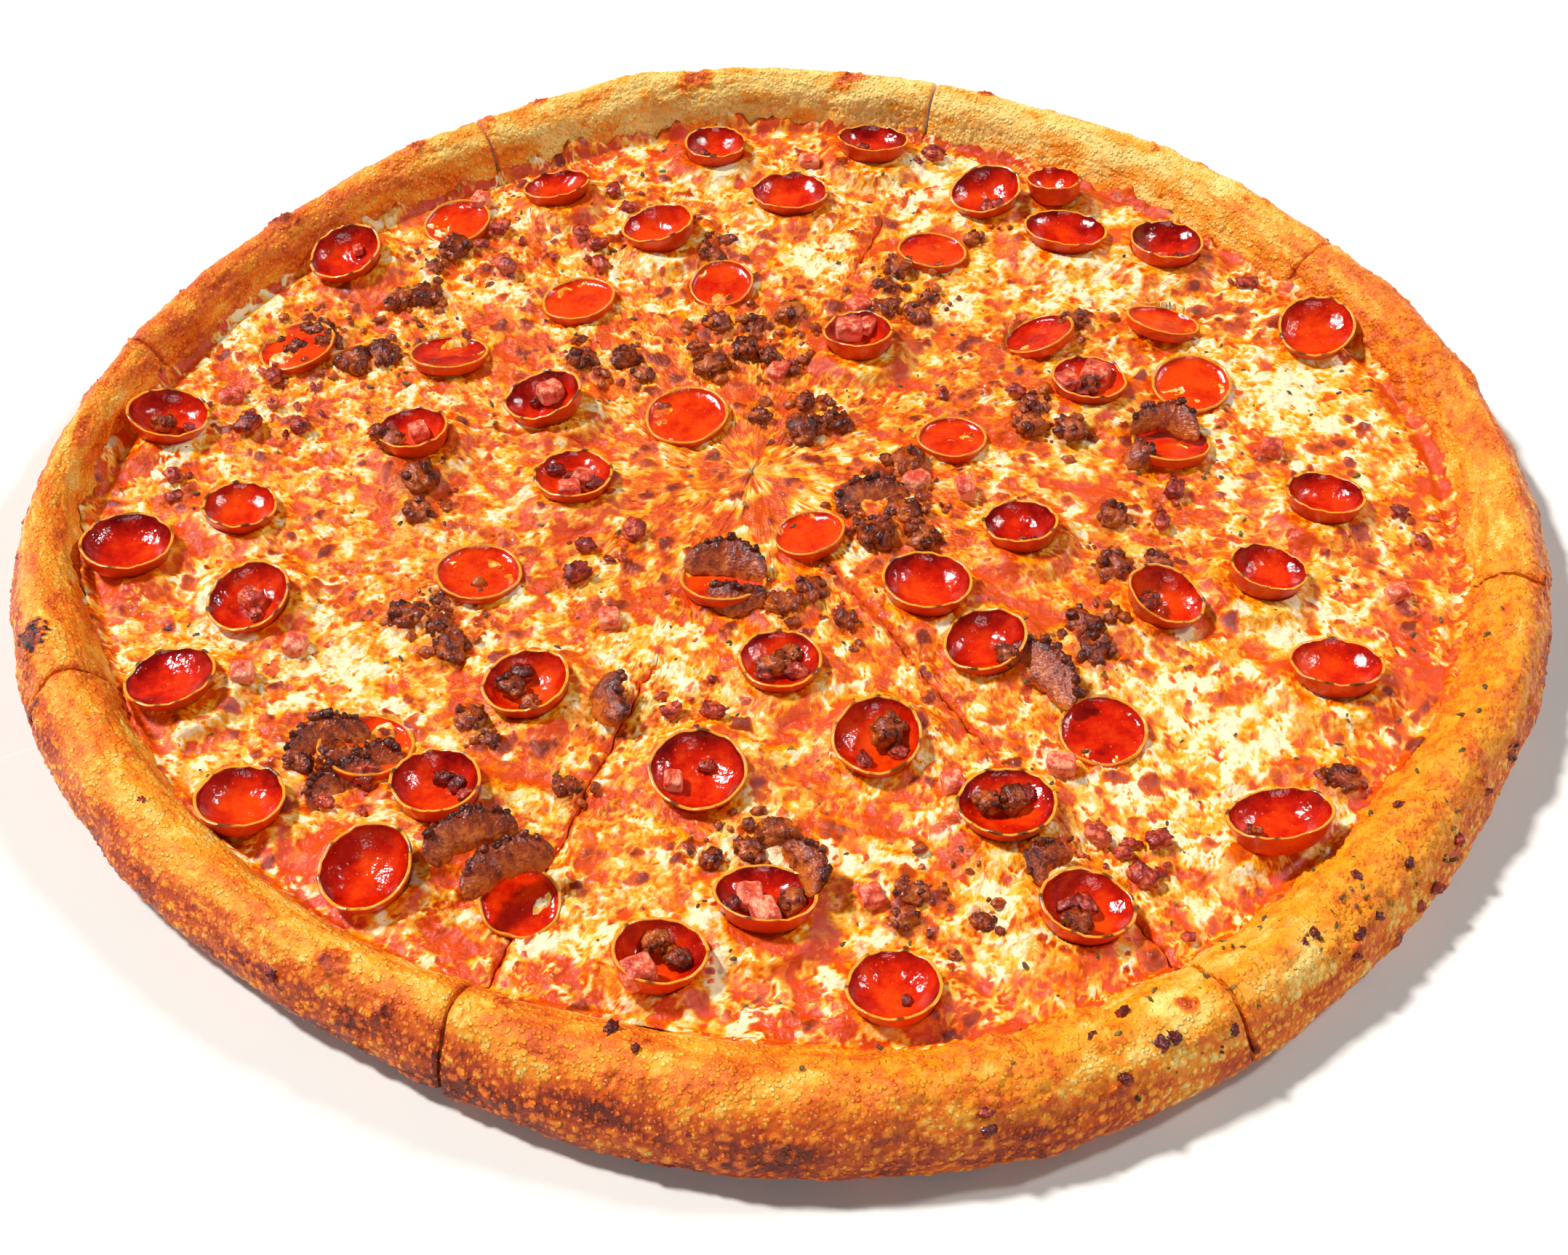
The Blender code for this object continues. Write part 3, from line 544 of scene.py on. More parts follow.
def make_piece(name, material, points, quads, triangles, values, sharp=None):
    """A smooth-shaded mesh that rides on the pizza, from arrays of points, faces and values."""
    mesh = bpy.data.meshes.new(name)
    mesh.vertices.add(len(points))
    mesh.vertices.foreach_set("co", (points * MM).astype(np.float32).ravel())
    corners = np.concatenate((quads.ravel(), triangles.ravel())).astype(np.int32)
    mesh.loops.add(len(corners))
    mesh.loops.foreach_set("vertex_index", corners)
    starts = np.concatenate((4 * np.arange(len(quads)), quads.size + 3 * np.arange(len(triangles))))
    mesh.polygons.add(len(starts))
    mesh.polygons.foreach_set("loop_start", starts.astype(np.int32))
    mesh.polygons.foreach_set("use_smooth", np.ones(len(starts), bool))
    mesh.update(calc_edges=True)
    mesh.validate()
    for key, value in values.items():
        layer = mesh.attributes.new(key, "FLOAT", "POINT")
        layer.data.foreach_set("value", np.asarray(value, np.float32))
    if sharp is not None:
        ends = np.empty(2 * len(mesh.edges), np.int32)
        mesh.edges.foreach_get("vertices", ends)
        ends = ends.reshape(-1, 2)
        mesh.edges.foreach_set("use_edge_sharp", sharp[ends[:, 0]] & sharp[ends[:, 1]])
    mesh.materials.append(material)
    piece = add_object(name, mesh)
    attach(piece, "root")
    return piece


def size(key):
    """One of the sizes that a user may change, in millimetres."""
    return getattr(bpy.context.scene.pizza_sizes, key) / MM


def grid_normals(points):
    """Unit normals of a grid of points, from the differences along its rows and columns."""
    normal = np.cross(np.gradient(points, axis=0), np.gradient(points, axis=1))
    return normal / np.maximum(np.linalg.norm(normal, axis=2, keepdims=True), 1e-9)


# The crust


@functools.lru_cache(maxsize=None)
def section_places():
    """Places along the rim's section, equally far apart on its surface, and how far each one is."""
    fine = np.linspace(0, LAST_ROW, 1801)
    radius, height = rim_point(np.full(fine.shape, SECTION_ANGLE), fine)
    run = np.concatenate(((0,), np.cumsum(np.hypot(np.diff(radius), np.diff(height)))))
    wanted = np.linspace(0, run[-1], CRUST_ROWS)
    return np.interp(wanted, run, fine), wanted


def crust_relief(angle, place, run):
    """How far the baked skin stands proud of the smooth rim, and how it is coloured.

    Soft lumps, wrinkles along the rim, micro-blisters that thin out on the top, larger browned
    blisters in groups, and the listed blisters. All use the distance round the rim and the run of
    the section as a flat map.
    """
    shape = angle.shape
    flat = np.stack((angle.ravel() * RIM_RADIUS, np.broadcast_to(run, shape).ravel()), 1)
    angle, place = angle.ravel(), np.broadcast_to(place, shape).ravel()
    top, side, cheesy = np.moveaxis(round_rim(RIM_BAKING, angle), -1, 0)
    bend = np.stack((fractal(flat / 7, 3, 20), fractal(flat / 7, 3, 30)), 1)
    lumps = fractal(flat / 19, 4, 40)
    mottle = fractal(flat / (20, 7), 4, 50)
    fine = fractal(flat / 1.7, 3, 60)
    micro, micro_own = domes(flat + 0.5 * bend, 2.3, 0.5, 1.35, 0.85, 70)
    medium, medium_own = domes(flat + 1.2 * bend, 6.5, 0.9, 3.4, 0.42, 71)
    wrinkle = np.abs(noise(flat / (26, 5) + 0.4 * bend, 72))
    outside = 1 - smooth(2.6, 4.6, place)
    inside = smooth(6.4, 8.0, place)
    grouped = smooth(-0.1, 0.5, noise(flat / 42, 73) + 0.3 * outside)
    beads = np.sqrt(micro) * (0.4 + 0.6 * micro_own)
    rise = 0.8 * lumps + size("bead_rise") * (0.4 + 0.6 * outside) * beads
    rise += size("blister_rise") * np.sqrt(medium) * grouped * (0.3 + 0.7 * medium_own)
    rise += 0.05 * fine - 0.45 * smooth(0.10, 0.0, wrinkle) * (1 - outside) - 0.8 * outside
    bake_and_shade = top + (side - top) * outside + 0.10 * inside
    bake_and_shade += 0.22 * mottle + 0.12 * outside * (1 - place / 3)
    bake_and_shade -= 0.34 * smooth(0.0, 0.5, micro) * (0.25 + 0.75 * outside)
    bake_and_shade += 0.36 * smooth(0.15, 0.8, medium) * grouped * medium_own
    # Painted shade: darker in the sunk grooves of the wrinkles
    bake_and_shade += 0.10 * smooth(0.16, 0.0, wrinkle) * (1 - outside)
    char = smooth(0.62, 0.95, 0.7 * noise(flat / 9, 74) + 0.45 * noise(flat / 2.6, 75))
    char *= side - 0.45
    ragged = 1 + 0.45 * bend[:, 0] + 0.25 * fine
    knobs = noise(flat / 2.6 + 0.3 * bend, 76)
    for degrees, spot, across, swell, dark in RIM_BLISTERS:
        beside = around(angle - math.radians(degrees)) * RIM_RADIUS
        ahead = (place - spot) * SECTION_STEP
        near = smooth(1.0, 0.25, np.hypot(beside, ahead) / (across * ragged))
        rise += near * (0.7 * swell + 0.9 * np.sqrt(micro) * micro_own + 0.5 * knobs)
        bake_and_shade = np.maximum(bake_and_shade, near * dark * (0.95 + 0.2 * mottle + 0.2 * knobs - 0.35 * micro))
        char = np.maximum(char, near * smooth(0.9, 1.0, dark) * smooth(-0.1, 0.4, fine))
    run_over = smooth(-0.15, 0.25, cheesy - 0.42 + 0.30 * mottle + 0.08 * (place - 5.5))
    run_over *= smooth(2.7, 4.0, place)
    rise += run_over * (0.3 + 0.3 * lumps + 0.7 * np.sqrt(medium) + 0.3 * np.sqrt(micro))
    looks = {"bake_and_shade": bake_and_shade, "cheesy": run_over, "char": char}
    return rise.reshape(shape), {key: value.reshape(shape) for key, value in looks.items()}


def crust_grid(index):
    """One slice's rim, as a grid of the angle between its cuts and the place along the section.

    A row's ends are where its own ring meets the two cuts, found by a few steps of reckoning the
    angle from the radius and the radius from the angle.
    """
    low, high, tip, shift = wedge(index)
    place, run = section_places()
    ends = []
    for bearing in (low, high):
        angle = np.full(CRUST_ROWS, bearing)
        for _ in range(6):
            reach = reach_to(rim_point(angle, place)[0], tip, bearing)
            at = np.arctan2(tip[1] + reach * math.sin(bearing), tip[0] + reach * math.cos(bearing))
            angle = bearing + around(at - bearing)
        ends.append(angle)
    angle = ends[0] + crowded(CRUST_COLUMNS)[:, None] * (ends[1] - ends[0])
    points = on_rim(angle, np.broadcast_to(place, angle.shape))
    normal = grid_normals(points)
    rise, looks = crust_relief(angle, place, run)
    edge = cut_distance(points[..., 0], points[..., 1], tip, low, high)
    rise = rise - 0.5 * smooth(1.1, 0.0, edge) ** 2
    buried = smooth(0.4, 1.2, place) * smooth(LAST_ROW - 0.1, LAST_ROW - 0.9, place)
    points = points + normal * (rise * buried)[..., None]
    points[..., 2] = np.maximum(points[..., 2], 0)
    # Painted shade: the skin darker within 2 mm of the cut, beside the gap between the slices
    looks["bake_and_shade"] = looks["bake_and_shade"] + 0.08 * smooth(2.0, 0.0, edge)
    return points, looks, tip, shift


def make_crust(index):
    """One slice's dough, closed: the rim's grid, two flat fans to the tip, and the two cut faces.

    Each cut face is a fan round a point in the middle of the rim's section.
    """
    points, looks, tip, shift = crust_grid(index)
    columns, rows = points.shape[:2]
    number = np.arange(columns * rows).reshape(columns, rows)
    extra = columns * rows + np.arange(4)
    crest = np.abs(section_places()[0] - 5).argmin()
    hearts = points[[0, -1], crest] * (1, 1, 0) + (0, 0, 4.0)
    tips = np.array(((*tip, 0.0), (*tip, BASE_TOP)))
    everything = np.concatenate((points.reshape(-1, 3), tips, hearts))
    everything[:, :2] += shift
    quads = grid_faces(columns, rows)
    fans = []
    for row, centre, way in ((0, extra[0], -1), (rows - 1, extra[1], 1)):
        fan = np.stack((number[:-1, row], number[1:, row], np.full(columns - 1, centre)), 1)
        fans.append(fan[:, ::way])
    for column, heart, way in ((0, extra[2], 1), (-1, extra[3], -1)):
        loop = np.concatenate((number[column], (extra[1], extra[0])))
        fan = np.stack((loop, np.roll(loop, -1), np.full(len(loop), heart)), 1)
        fans.append(fan[:, ::way])
    sharp = np.zeros(len(everything), bool)
    sharp[number[0]] = sharp[number[-1]] = sharp[extra[:2]] = True
    values = {key: np.concatenate((value.ravel(), (0.2,) * 4)) for key, value in looks.items()}
    values["crumb"] = np.zeros(len(everything))
    values["crumb"][extra] = 1.0
    return everything, quads, np.concatenate(fans), values, sharp


# The cheese


@functools.lru_cache(maxsize=None)
def cup_frames():
    """Where each cup is: the middle of its underside, its axes, its radius and its depth.

    The axes are stretched along the direction of the lean, then leaned and turned. The height comes
    from the lowest point of the cup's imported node.
    """
    frames = []
    for number, (x, y, diameter, depth, tilt, direction, stretch) in enumerate(CUPS):
        axes = leaned(tilt, direction) @ np.diag((1 + stretch, 1 - stretch, 1))
        radius = diameter / 2
        ring = np.insert(0.80 * radius * circle(PACKED_SIDES), 2, 0.12 * depth, axis=1)
        lowest = min(0.0, (ring @ axes.T)[:, 2].min())
        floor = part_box(f"pepperoni_{number + 1:02d}")[0][2] / MM
        frames.append((np.array((x, y, floor - lowest)), axes, radius, depth))
    return frames


def dough_top(x, y):
    """The smooth dough's height under the cheese's edge, and how far a point is past that edge.

    The height goes by straight lines between the section's rows.
    """
    angle = np.arctan2(y, x)
    outer, inner, crest = np.moveaxis(round_rim(RIM_STATIONS, angle), -1, 0)
    width = outer - inner
    past = np.hypot(x, y) - inner
    heights = (np.full_like(crest, BASE_TOP), 0.32 * crest, 0.52 * crest, 0.84 * crest)
    stops = (-7.0, -1.0, 0.06 * width, 0.24 * width)
    total = heights[0]
    for k in range(3):
        share = np.clip((past - stops[k]) / (stops[k + 1] - stops[k]), 0, 1)
        total = total + (heights[k + 1] - heights[k]) * share
    return total, past


def strands(flat, bend):
    """Melted shreds: three crossing sets of long thin noise cells, each strongest in its own area.

    A strand is where the noise is far from nought, and a gap is where it crosses it.
    """
    total = np.zeros(len(flat), np.float32)
    for number, way in enumerate((20, 80, 140)):
        c, s = math.cos(math.radians(way)), math.sin(math.radians(way))
        along = (flat @ np.array((c, s))) / 7.5
        across = (flat @ np.array((-s, c))) / 3.0
        cells = np.stack((along, across), 1) + 1.1 * bend
        present = smooth(-0.25, 0.35, noise(flat / 16, 90 + number))
        shred = np.minimum(1, 2.1 * np.abs(noise(cells, 80 + number)))
        total = np.maximum(total, present * shred)
    return total


def cheese_top(x, y):
    """The cheese's height and looks at points in millimetres.

    The height is slow swells, lumps, melted shreds and blisters, and it rises with the dough at the
    rim. The looks are how toasted, melted, red with sauce and coloured by meat each point is.
    """
    flat = np.stack((x, y), 1)
    bend = np.stack((fractal(flat / 6, 3, 100), fractal(flat / 6, 3, 110)), 1)
    swell = fractal(flat / 17, 3, 120)
    lumps = fractal(flat / 6.5, 3, 130)
    beads = fractal(flat / 2.8 + 0.3 * bend, 2, 135)
    fine = fractal(flat / 1.5, 3, 140)
    shreds = strands(flat, bend)
    white = patches(x, y, WHITE_PATCHES)
    sauce = patches(x, y, SAUCE_PATCHES)
    oily = patches(x, y, OILY_PATCHES)
    big = domes(flat + 1.6 * bend, 9, 1.8, 5.2, 0.72, 150)[0]
    small = domes(flat + 0.9 * bend, 4.4, 0.8, 2.3, 0.65, 151)[0]
    uneven = 0.55 + 0.55 * noise(flat / 9, 158)
    grouped = smooth(-0.45, 0.30, noise(flat / 26, 152) - 0.45 * white + 0.15 * oily)
    melt = 0.36 + 0.46 * fractal(flat / 7 + 0.45 * bend, 4, 160) + 0.40 * (shreds - 0.55)
    melt += 0.36 * white - 0.14 * oily
    relief = 0.60 * lumps + 0.55 * shreds + 0.50 * beads + 0.03 * fine
    relief += 0.70 * np.clip(melt - 0.35, -0.5, 0.6)
    relief += 0.85 * np.sqrt(big) * (0.3 + 0.7 * uneven) * (0.3 + 0.7 * grouped)
    relief += 0.30 * np.sqrt(small) * uneven
    height = CHEESE_TOP + 0.8 + 0.70 * swell + size("cheese_relief") * relief
    dough, past = dough_top(x, y)
    edge = smooth(-12, 1, past)
    lap = dough + 1.1 - 0.8 * smooth(-3, 3, past) + 0.25 * lumps * edge + 0.15 * fine
    height = np.logaddexp((height - 0.8 * edge) / LAP_BLEND, lap / LAP_BLEND) * LAP_BLEND
    height, meat = lay_toppings(flat, height, lumps)
    toast = smooth(0.05, 0.85, big + 0.15 * beads) * (0.35 + 0.75 * uneven) * grouped
    toast = np.maximum(toast, 0.80 * smooth(0.1, 0.8, small) * uneven * (0.3 + 0.7 * grouped))
    toast += 0.16 * lumps + 0.10 * beads - 0.16 * white
    bits = domes(flat + 1.4 * bend, 8, 0.9, 2.8, 0.22, 153)[0]
    bits = smooth(0.0, 0.7, bits) * smooth(-0.1, 0.3, noise(flat / 22, 154) - 0.6 * white)
    rim_sauce = smooth(-9, -2, past) * (0.38 + 0.55 * noise(flat / 13, 156))
    sauce = np.maximum(0.92 * sauce, rim_sauce) - 0.75 * (shreds - 0.55) - 0.35 * lumps
    red = smooth(0.30, 0.80, sauce + 0.40 * fractal(flat / 5, 3, 180))
    red = np.maximum(red, 0.5 * bits)
    height = np.minimum(height, dough + 1.4 + 7 * smooth(-1, -10, past))
    height += 0.2 * bits
    meat = smooth(0.25, 0.85, meat + 0.3 * lumps)
    return height, {"toast": toast, "melt": melt, "sauce": red, "meat": meat}


def lay_toppings(flat, height, lumps):
    """The cheese's height once the toppings lie in it, and how far meat colours it.

    It swells round the crumbs, sinks to the tops of the flat slices, save where it has run over
    them, and sinks under the cups.
    """
    x, y = flat.T
    meat = np.zeros_like(x)
    for kind, px, py, across, _ in small_toppings():
        away = (x - px) ** 2 + (y - py) ** 2
        near = away < (1.6 * across) ** 2
        mound = np.exp(-away[near] / (0.62 * across) ** 2)
        height[near] += 0.16 * across * mound * (0.7 + 0.5 * lumps[near])
        if kind == "sausage":
            meat[near] = np.maximum(meat[near], mound)
    for px, py, across, lean, way in BURIED_SLICES:
        near = np.hypot(x - px, y - py) < 0.49 * across
        lean, way = math.radians(lean), math.radians(way)
        ahead = (x[near] - px) * math.cos(way) + (y[near] - py) * math.sin(way)
        disc = CHEESE_TOP + 1.9 - math.tan(lean) * ahead
        over = 2.2 * smooth(0.15, 0.55, noise(flat[near] / 9, 157) + 0.25 * lumps[near])
        height[near] = np.minimum(height[near], disc - 0.3 + over)
    for place, axes, radius, depth in cup_frames():
        near = np.hypot(x - place[0], y - place[1]) < 1.8 * radius
        if near.any():
            height[near] = seat(x[near], y[near], height[near], place, axes, radius, depth)
    return height, meat


def seat(x, y, height, place, axes, radius, depth):
    """The cheese under and beside one cup.

    The cup's underside is its tilted plane plus its section: nearly flat to 0.8 of the radius, then
    up the wall. The cheese takes that height, less a small gap, up to about half of the wall, and
    fades back to its own height a little way outside.
    """
    normal = axes[:, 2]
    plane = place[2] - (normal[0] * (x - place[0]) + normal[1] * (y - place[1])) / normal[2]
    share = np.hypot(x - place[0], y - place[1]) / radius
    wall = 0.12 * np.minimum(share / 0.8, 1) + 0.88 * np.clip((share - 0.8) / 0.2, 0, 1)
    uneven = 0.46 + 0.14 * noise(np.stack((x, y), 1) / 6, 155)
    hug = plane + np.minimum(wall, uneven) * depth - 0.4
    close = smooth(1.75, 1.0, share)
    return height + (hug - height) * close


def seam(distance, cut):
    """How far a seam in the cheese wanders sideways at a distance along it, and how open it is."""
    line = np.stack((distance / 8, np.full_like(distance, 7.3 * cut)), -1).reshape(-1, 2)
    wander = 0.9 * noise(line, 196) + 0.4 * noise(line * 3, 197)
    opened = np.zeros(distance.shape)
    for number, first, last in OPEN_SEAMS:
        if number == cut:
            stretch = smooth(first - 12, first, distance) * smooth(last + 10, last, distance)
            opened = np.maximum(opened, stretch)
    return wander.reshape(distance.shape) * smooth(3, 15, distance), opened


def cheese_grid(index):
    """One slice's cheese, as a grid of bearings from its tip and steps out to its uneven edge.

    It spreads a little way into each cut, where both sides of a seam wander together.
    """
    low, high, tip, shift = wedge(index)
    middle = (low + high) / 2
    back = CHEESE_SPREAD / math.sin((high - low) / 2)
    start = tip - back * np.array((math.cos(middle), math.sin(middle)))
    bearing = low + (high - low) * crowded(CHEESE_COLUMNS)
    angle = bearing.copy()
    for _ in range(5):
        inner = round_rim(RIM_STATIONS, angle)[:, 1]
        flat = np.stack((angle * CHEESE_RADIUS, 0 * angle), 1)
        lap = 2.0 + 2.0 * noise(flat / 14, 190) + 1.1 * noise(flat / 4.5, 191)
        reach = reach_to(inner + lap, start, bearing)
        at = np.arctan2(start[1] + reach * np.sin(bearing), start[0] + reach * np.cos(bearing))
        angle = bearing + around(at - bearing)
    step = np.linspace(0.0004, 1, CHEESE_STEPS) ** 0.72
    distance = reach[:, None] * step
    x = start[0] + distance * np.cos(bearing)[:, None]
    y = start[1] + distance * np.sin(bearing)[:, None]
    crease = np.zeros(x.shape)
    for side, angle, cut in ((1, low, index), (-1, high, (index + 1) % SLICES)):
        left = np.array((-math.sin(angle), math.cos(angle)))
        away = np.abs((x - start[0]) * left[0] + (y - start[1]) * left[1])
        wander, opened = seam(distance, cut)
        push = (wander - side * 0.28 * (1 - opened)) * smooth(7, 0, away)
        x, y = x + push * left[0], y + push * left[1]
        depth = smooth(2.2, 0.0, away) * (0.25 + 0.75 * opened) * smooth(3, 14, distance)
        crease = np.maximum(crease, depth)
    return x + shift[0], y + shift[1], crease, distance - reach[:, None]


def make_cheese(index):
    """One slice's cheese, closed: the top's grid, a wall round its edge, and a flat underside."""
    x, y, crease, past = (part.ravel() for part in cheese_grid(index))
    height, looks = cheese_top(x, y)
    crease = crease * (0.8 + 0.35 * noise(np.stack((x, y), 1) / 6, 195))
    height -= 1.3 * crease**2 + 2.4 * smooth(-2.4, 0.0, past)
    looks["sauce"] = np.maximum(looks["sauce"], 0.7 * smooth(0.5, 1.0, crease))
    looks["melt"] = looks["melt"] - 0.3 * crease
    top = np.stack((x, y, height), 1)
    columns, rows = CHEESE_COLUMNS, CHEESE_STEPS
    number = np.arange(columns * rows).reshape(columns, rows)
    loop = np.concatenate((number[0], number[1:, -1], number[-1, -2::-1], number[-2:0:-1, 0]))
    heart = np.array(((*top[loop, :2].mean(0), BASE_TOP + REST_GAP),))
    rings, bands, above = [top], [grid_faces(columns, rows)[:, ::-1]], loop
    for shrink, limit in ((1.0, 20), (0.99, -1.2), (0.98, -7.5)):
        ring = heart + shrink * (top[loop] - heart)
        inner = dough_top(ring[:, 0], ring[:, 1])[1]
        radius = np.hypot(ring[:, 0], ring[:, 1])
        ring[:, :2] *= np.minimum(1, 1 - (inner - limit) / radius)[:, None]
        dough = dough_top(ring[:, 0], ring[:, 1])[0]
        ring[:, 2] = np.minimum(np.maximum(BASE_TOP + REST_GAP, dough - 0.6), top[loop, 2] - 0.1)
        below = sum(len(part) for part in rings) + np.arange(len(loop))
        bands.append(np.stack((np.roll(above, -1), np.roll(below, -1), below, above), 1))
        rings.append(ring)
        above = below
    everything = np.concatenate((*rings, heart))
    fan = np.stack((np.full(len(loop), len(everything) - 1), above, np.roll(above, -1)), 1)
    values = {key: np.concatenate((v, *(v[loop],) * 3, (0.0,))) for key, v in looks.items()}
    return everything, np.concatenate(bands), fan, values


# Pepperoni


def bowl(radius, depth, reach):
    """A cup's inside: its floor, plus the cube of the share of the way from middle to wall."""
    return 1.1 + (depth - 1.8) * np.clip(reach / (radius - 1.0), 0, 1) ** 3


def cup_section(radius, depth):
    """Half of a cup's section, under it, over its lip and back inside, and which row is the lip."""
    r, d = radius, depth
    inside = [share * (r - 1.0) for share in (0.95, 0.87, 0.77, 0.64, 0.49, 0.33, 0.16)]
    rows = (
        (0.25 * r, 0.0),
        (0.50 * r, 0.01 * d),
        (0.70 * r, 0.05 * d),
        (0.80 * r, 0.12 * d),
        (0.87 * r, 0.30 * d),
        (0.93 * r, 0.58 * d),
        (0.98 * r, 0.86 * d),
        (1.00 * r, d - 0.35),
        (1.00 * r - 0.15, d - 0.02),
        (1.00 * r - 0.55, d + 0.12),
        (1.00 * r - 0.95, d - 0.08),
        (1.00 * r - 1.15, d - 0.45),
        *((reach, bowl(r, d, reach)) for reach in inside),
    )
    return np.array(rows), 9


def make_cup(number, material):
    """A cup: its section carried round its axis, drawn in and out by noise, with a wavy burnt lip.

    Where the inside would lie under the level of the oil, it is lifted to that level.
    """
    place, axes, radius, depth = cup_frames()[number]
    rows, lip = cup_section(radius, depth)
    row = np.linspace(0, len(rows) - 1, CUP_ROWS)
    section = through(rows, row)
    ring = circle(CUP_AROUND)
    rng = random.Random(300 + number)
    offset = np.array((rng.uniform(0, 90), rng.uniform(0, 90)))
    wobble = noise(ring * 1.3 + offset, 301)
    waver = noise(ring * 3.5 + offset, 302)
    ripple = noise(ring * 9 + offset, 303)
    up = (section[:, 1] / depth)[:, None]
    out = section[:, 0][:, None] * (1 + 0.035 * wobble * up + 0.012 * waver * up)
    near_lip = np.exp(-(((row - lip) / 3.0) ** 2))[:, None]
    high = section[:, 1][:, None] + near_lip * (size("lip_waver") * waver + 0.16 * ripple - 0.2)
    body = np.concatenate((out[..., None] * ring, high[..., None]), 2)
    inner = (row > lip + 1)[:, None] & np.ones_like(out, bool)
    grain = fractal(body.reshape(-1, 3) / 3 + offset[0], 3, 304).reshape(out.shape)
    body[..., 2] += 0.42 * grain * inner * (1 - up * 0.6)
    poles = np.array(((0, 0, 0), (0, 0, 1.1)))
    whole = np.concatenate((poles[:1], body.reshape(-1, 3), poles[1:])) @ axes.T + place
    inside = np.concatenate(((False,), inner.ravel(), (True,)))
    level = whole[inside, 2].min() + rng.uniform(0.2, 0.7)
    pooled = inside & (whole[:, 2] < level)
    depth_of_oil = np.where(pooled, level - whole[:, 2], 0)
    whole[pooled, 2] = level

    def everywhere(value, last=0.0):
        """The value at every point: nought at the first pole, and its own at the last."""
        return np.concatenate(((0,), np.broadcast_to(value, out.shape).ravel(), (last,)))

    values = {
        "burnt": everywhere(near_lip * (0.45 + 1.1 * waver + 0.25 * ripple)),
        "lip": everywhere(np.exp(-(((row - lip) / 1.3) ** 2))[:, None]),
        "inside": inside,
        "pool": smooth(0.0, 0.5, depth_of_oil),
        "height": everywhere(up, 0.15),
        "tone": np.full(len(whole), rng.random()),
    }
    quads, caps = tube_faces(CUP_ROWS, CUP_AROUND)
    return make_piece(f"cup_{number + 1:02d}", material, whole, quads, caps, values)


def make_buried_slices(material):
    """The half-buried slices: flat rounded discs with a slightly raised, wavy edge, leaned."""
    section = through(BURIED_SECTION, np.linspace(0, len(BURIED_SECTION) - 1, BURIED_ROWS))
    ring = circle(CUP_AROUND)
    quads, caps = tube_faces(BURIED_ROWS, CUP_AROUND)
    batch = Batch()
    for number, (x, y, diameter, tilt, direction) in enumerate(BURIED_SLICES):
        rng = random.Random(400 + number)
        offset = np.array((rng.uniform(0, 90), rng.uniform(0, 90)))
        waver = 0.03 * noise(ring * 1.5 + offset, 401) + 0.012 * noise(ring * 6 + offset, 402)
        out = section[:, 0][:, None] * (1 + waver) * diameter / 2
        high = section[:, 1][:, None] + 0 * out
        body = np.concatenate((out[..., None] * ring, high[..., None]), 2).reshape(-1, 3)
        body[:, 2] += 0.3 * fractal(body / 5 + offset[0], 3, 403) * (body[:, 2] > 0)
        body = np.concatenate((((0, 0, -1.8),), body, ((0, 0, 0.9),)))
        placed = body @ leaned(tilt, direction).T + (x, y, CHEESE_TOP + 1.1)
        placed[:, 2] = np.maximum(placed[:, 2], BASE_TOP + 0.8)
        edge = smooth(1.9, 2.35, body[:, 2])
        values = {
            "burnt": 0.75 * edge,
            "lip": edge,
            "inside": np.hypot(body[:, 0], body[:, 1]) < 0.47 * diameter,
            "pool": 0 * edge,
            "height": np.clip(body[:, 2] / 5, 0, 1),
            "tone": np.full(len(body), rng.random()),
        }
        batch.add(placed, quads, caps, values)
    return batch.finish("buried_slices", material)


class Batch:
    """Many small closed shapes gathered into one piece."""

    def __init__(self):
        self.points, self.quads, self.triangles, self.values, self.count = [], [], [], [], 0

    def add(self, points, quads, triangles, values):
        """Adds one shape's points, faces and point values."""
        self.points.append(points)
        self.quads.append(quads + self.count)
        self.triangles.append(triangles + self.count)
        self.values.append(values)
        self.count += len(points)

    def finish(self, name, material):
        """Makes the piece."""
        values = {
            key: np.concatenate([np.asarray(value[key], float) for value in self.values])
            for key in self.values[0]
        }
        joined = [np.concatenate(part) for part in (self.points, self.quads, self.triangles)]
        return make_piece(name, material, *joined, values)


# Sausage, bacon, ham and herbs


def ball(rows, sides):
    """Unit directions: a first pole, rings round the z axis, and a last pole."""
    down = np.linspace(math.pi, 0, rows + 2)[1:-1]
    rings = [np.insert(math.sin(a) * circle(sides), 2, math.cos(a), axis=1) for a in down]
    return np.concatenate((((0, 0, -1),), *rings, ((0, 0, 1),)))


def turned_each(shapes, turns):
    """Shapes of the same number of points, each turned about z by its own angle."""
    c, s = np.cos(turns)[:, None], np.sin(turns)[:, None]
    x, y, z = np.moveaxis(shapes, -1, 0)
    return np.stack((c * x - s * y, s * x + c * y, z), -1)


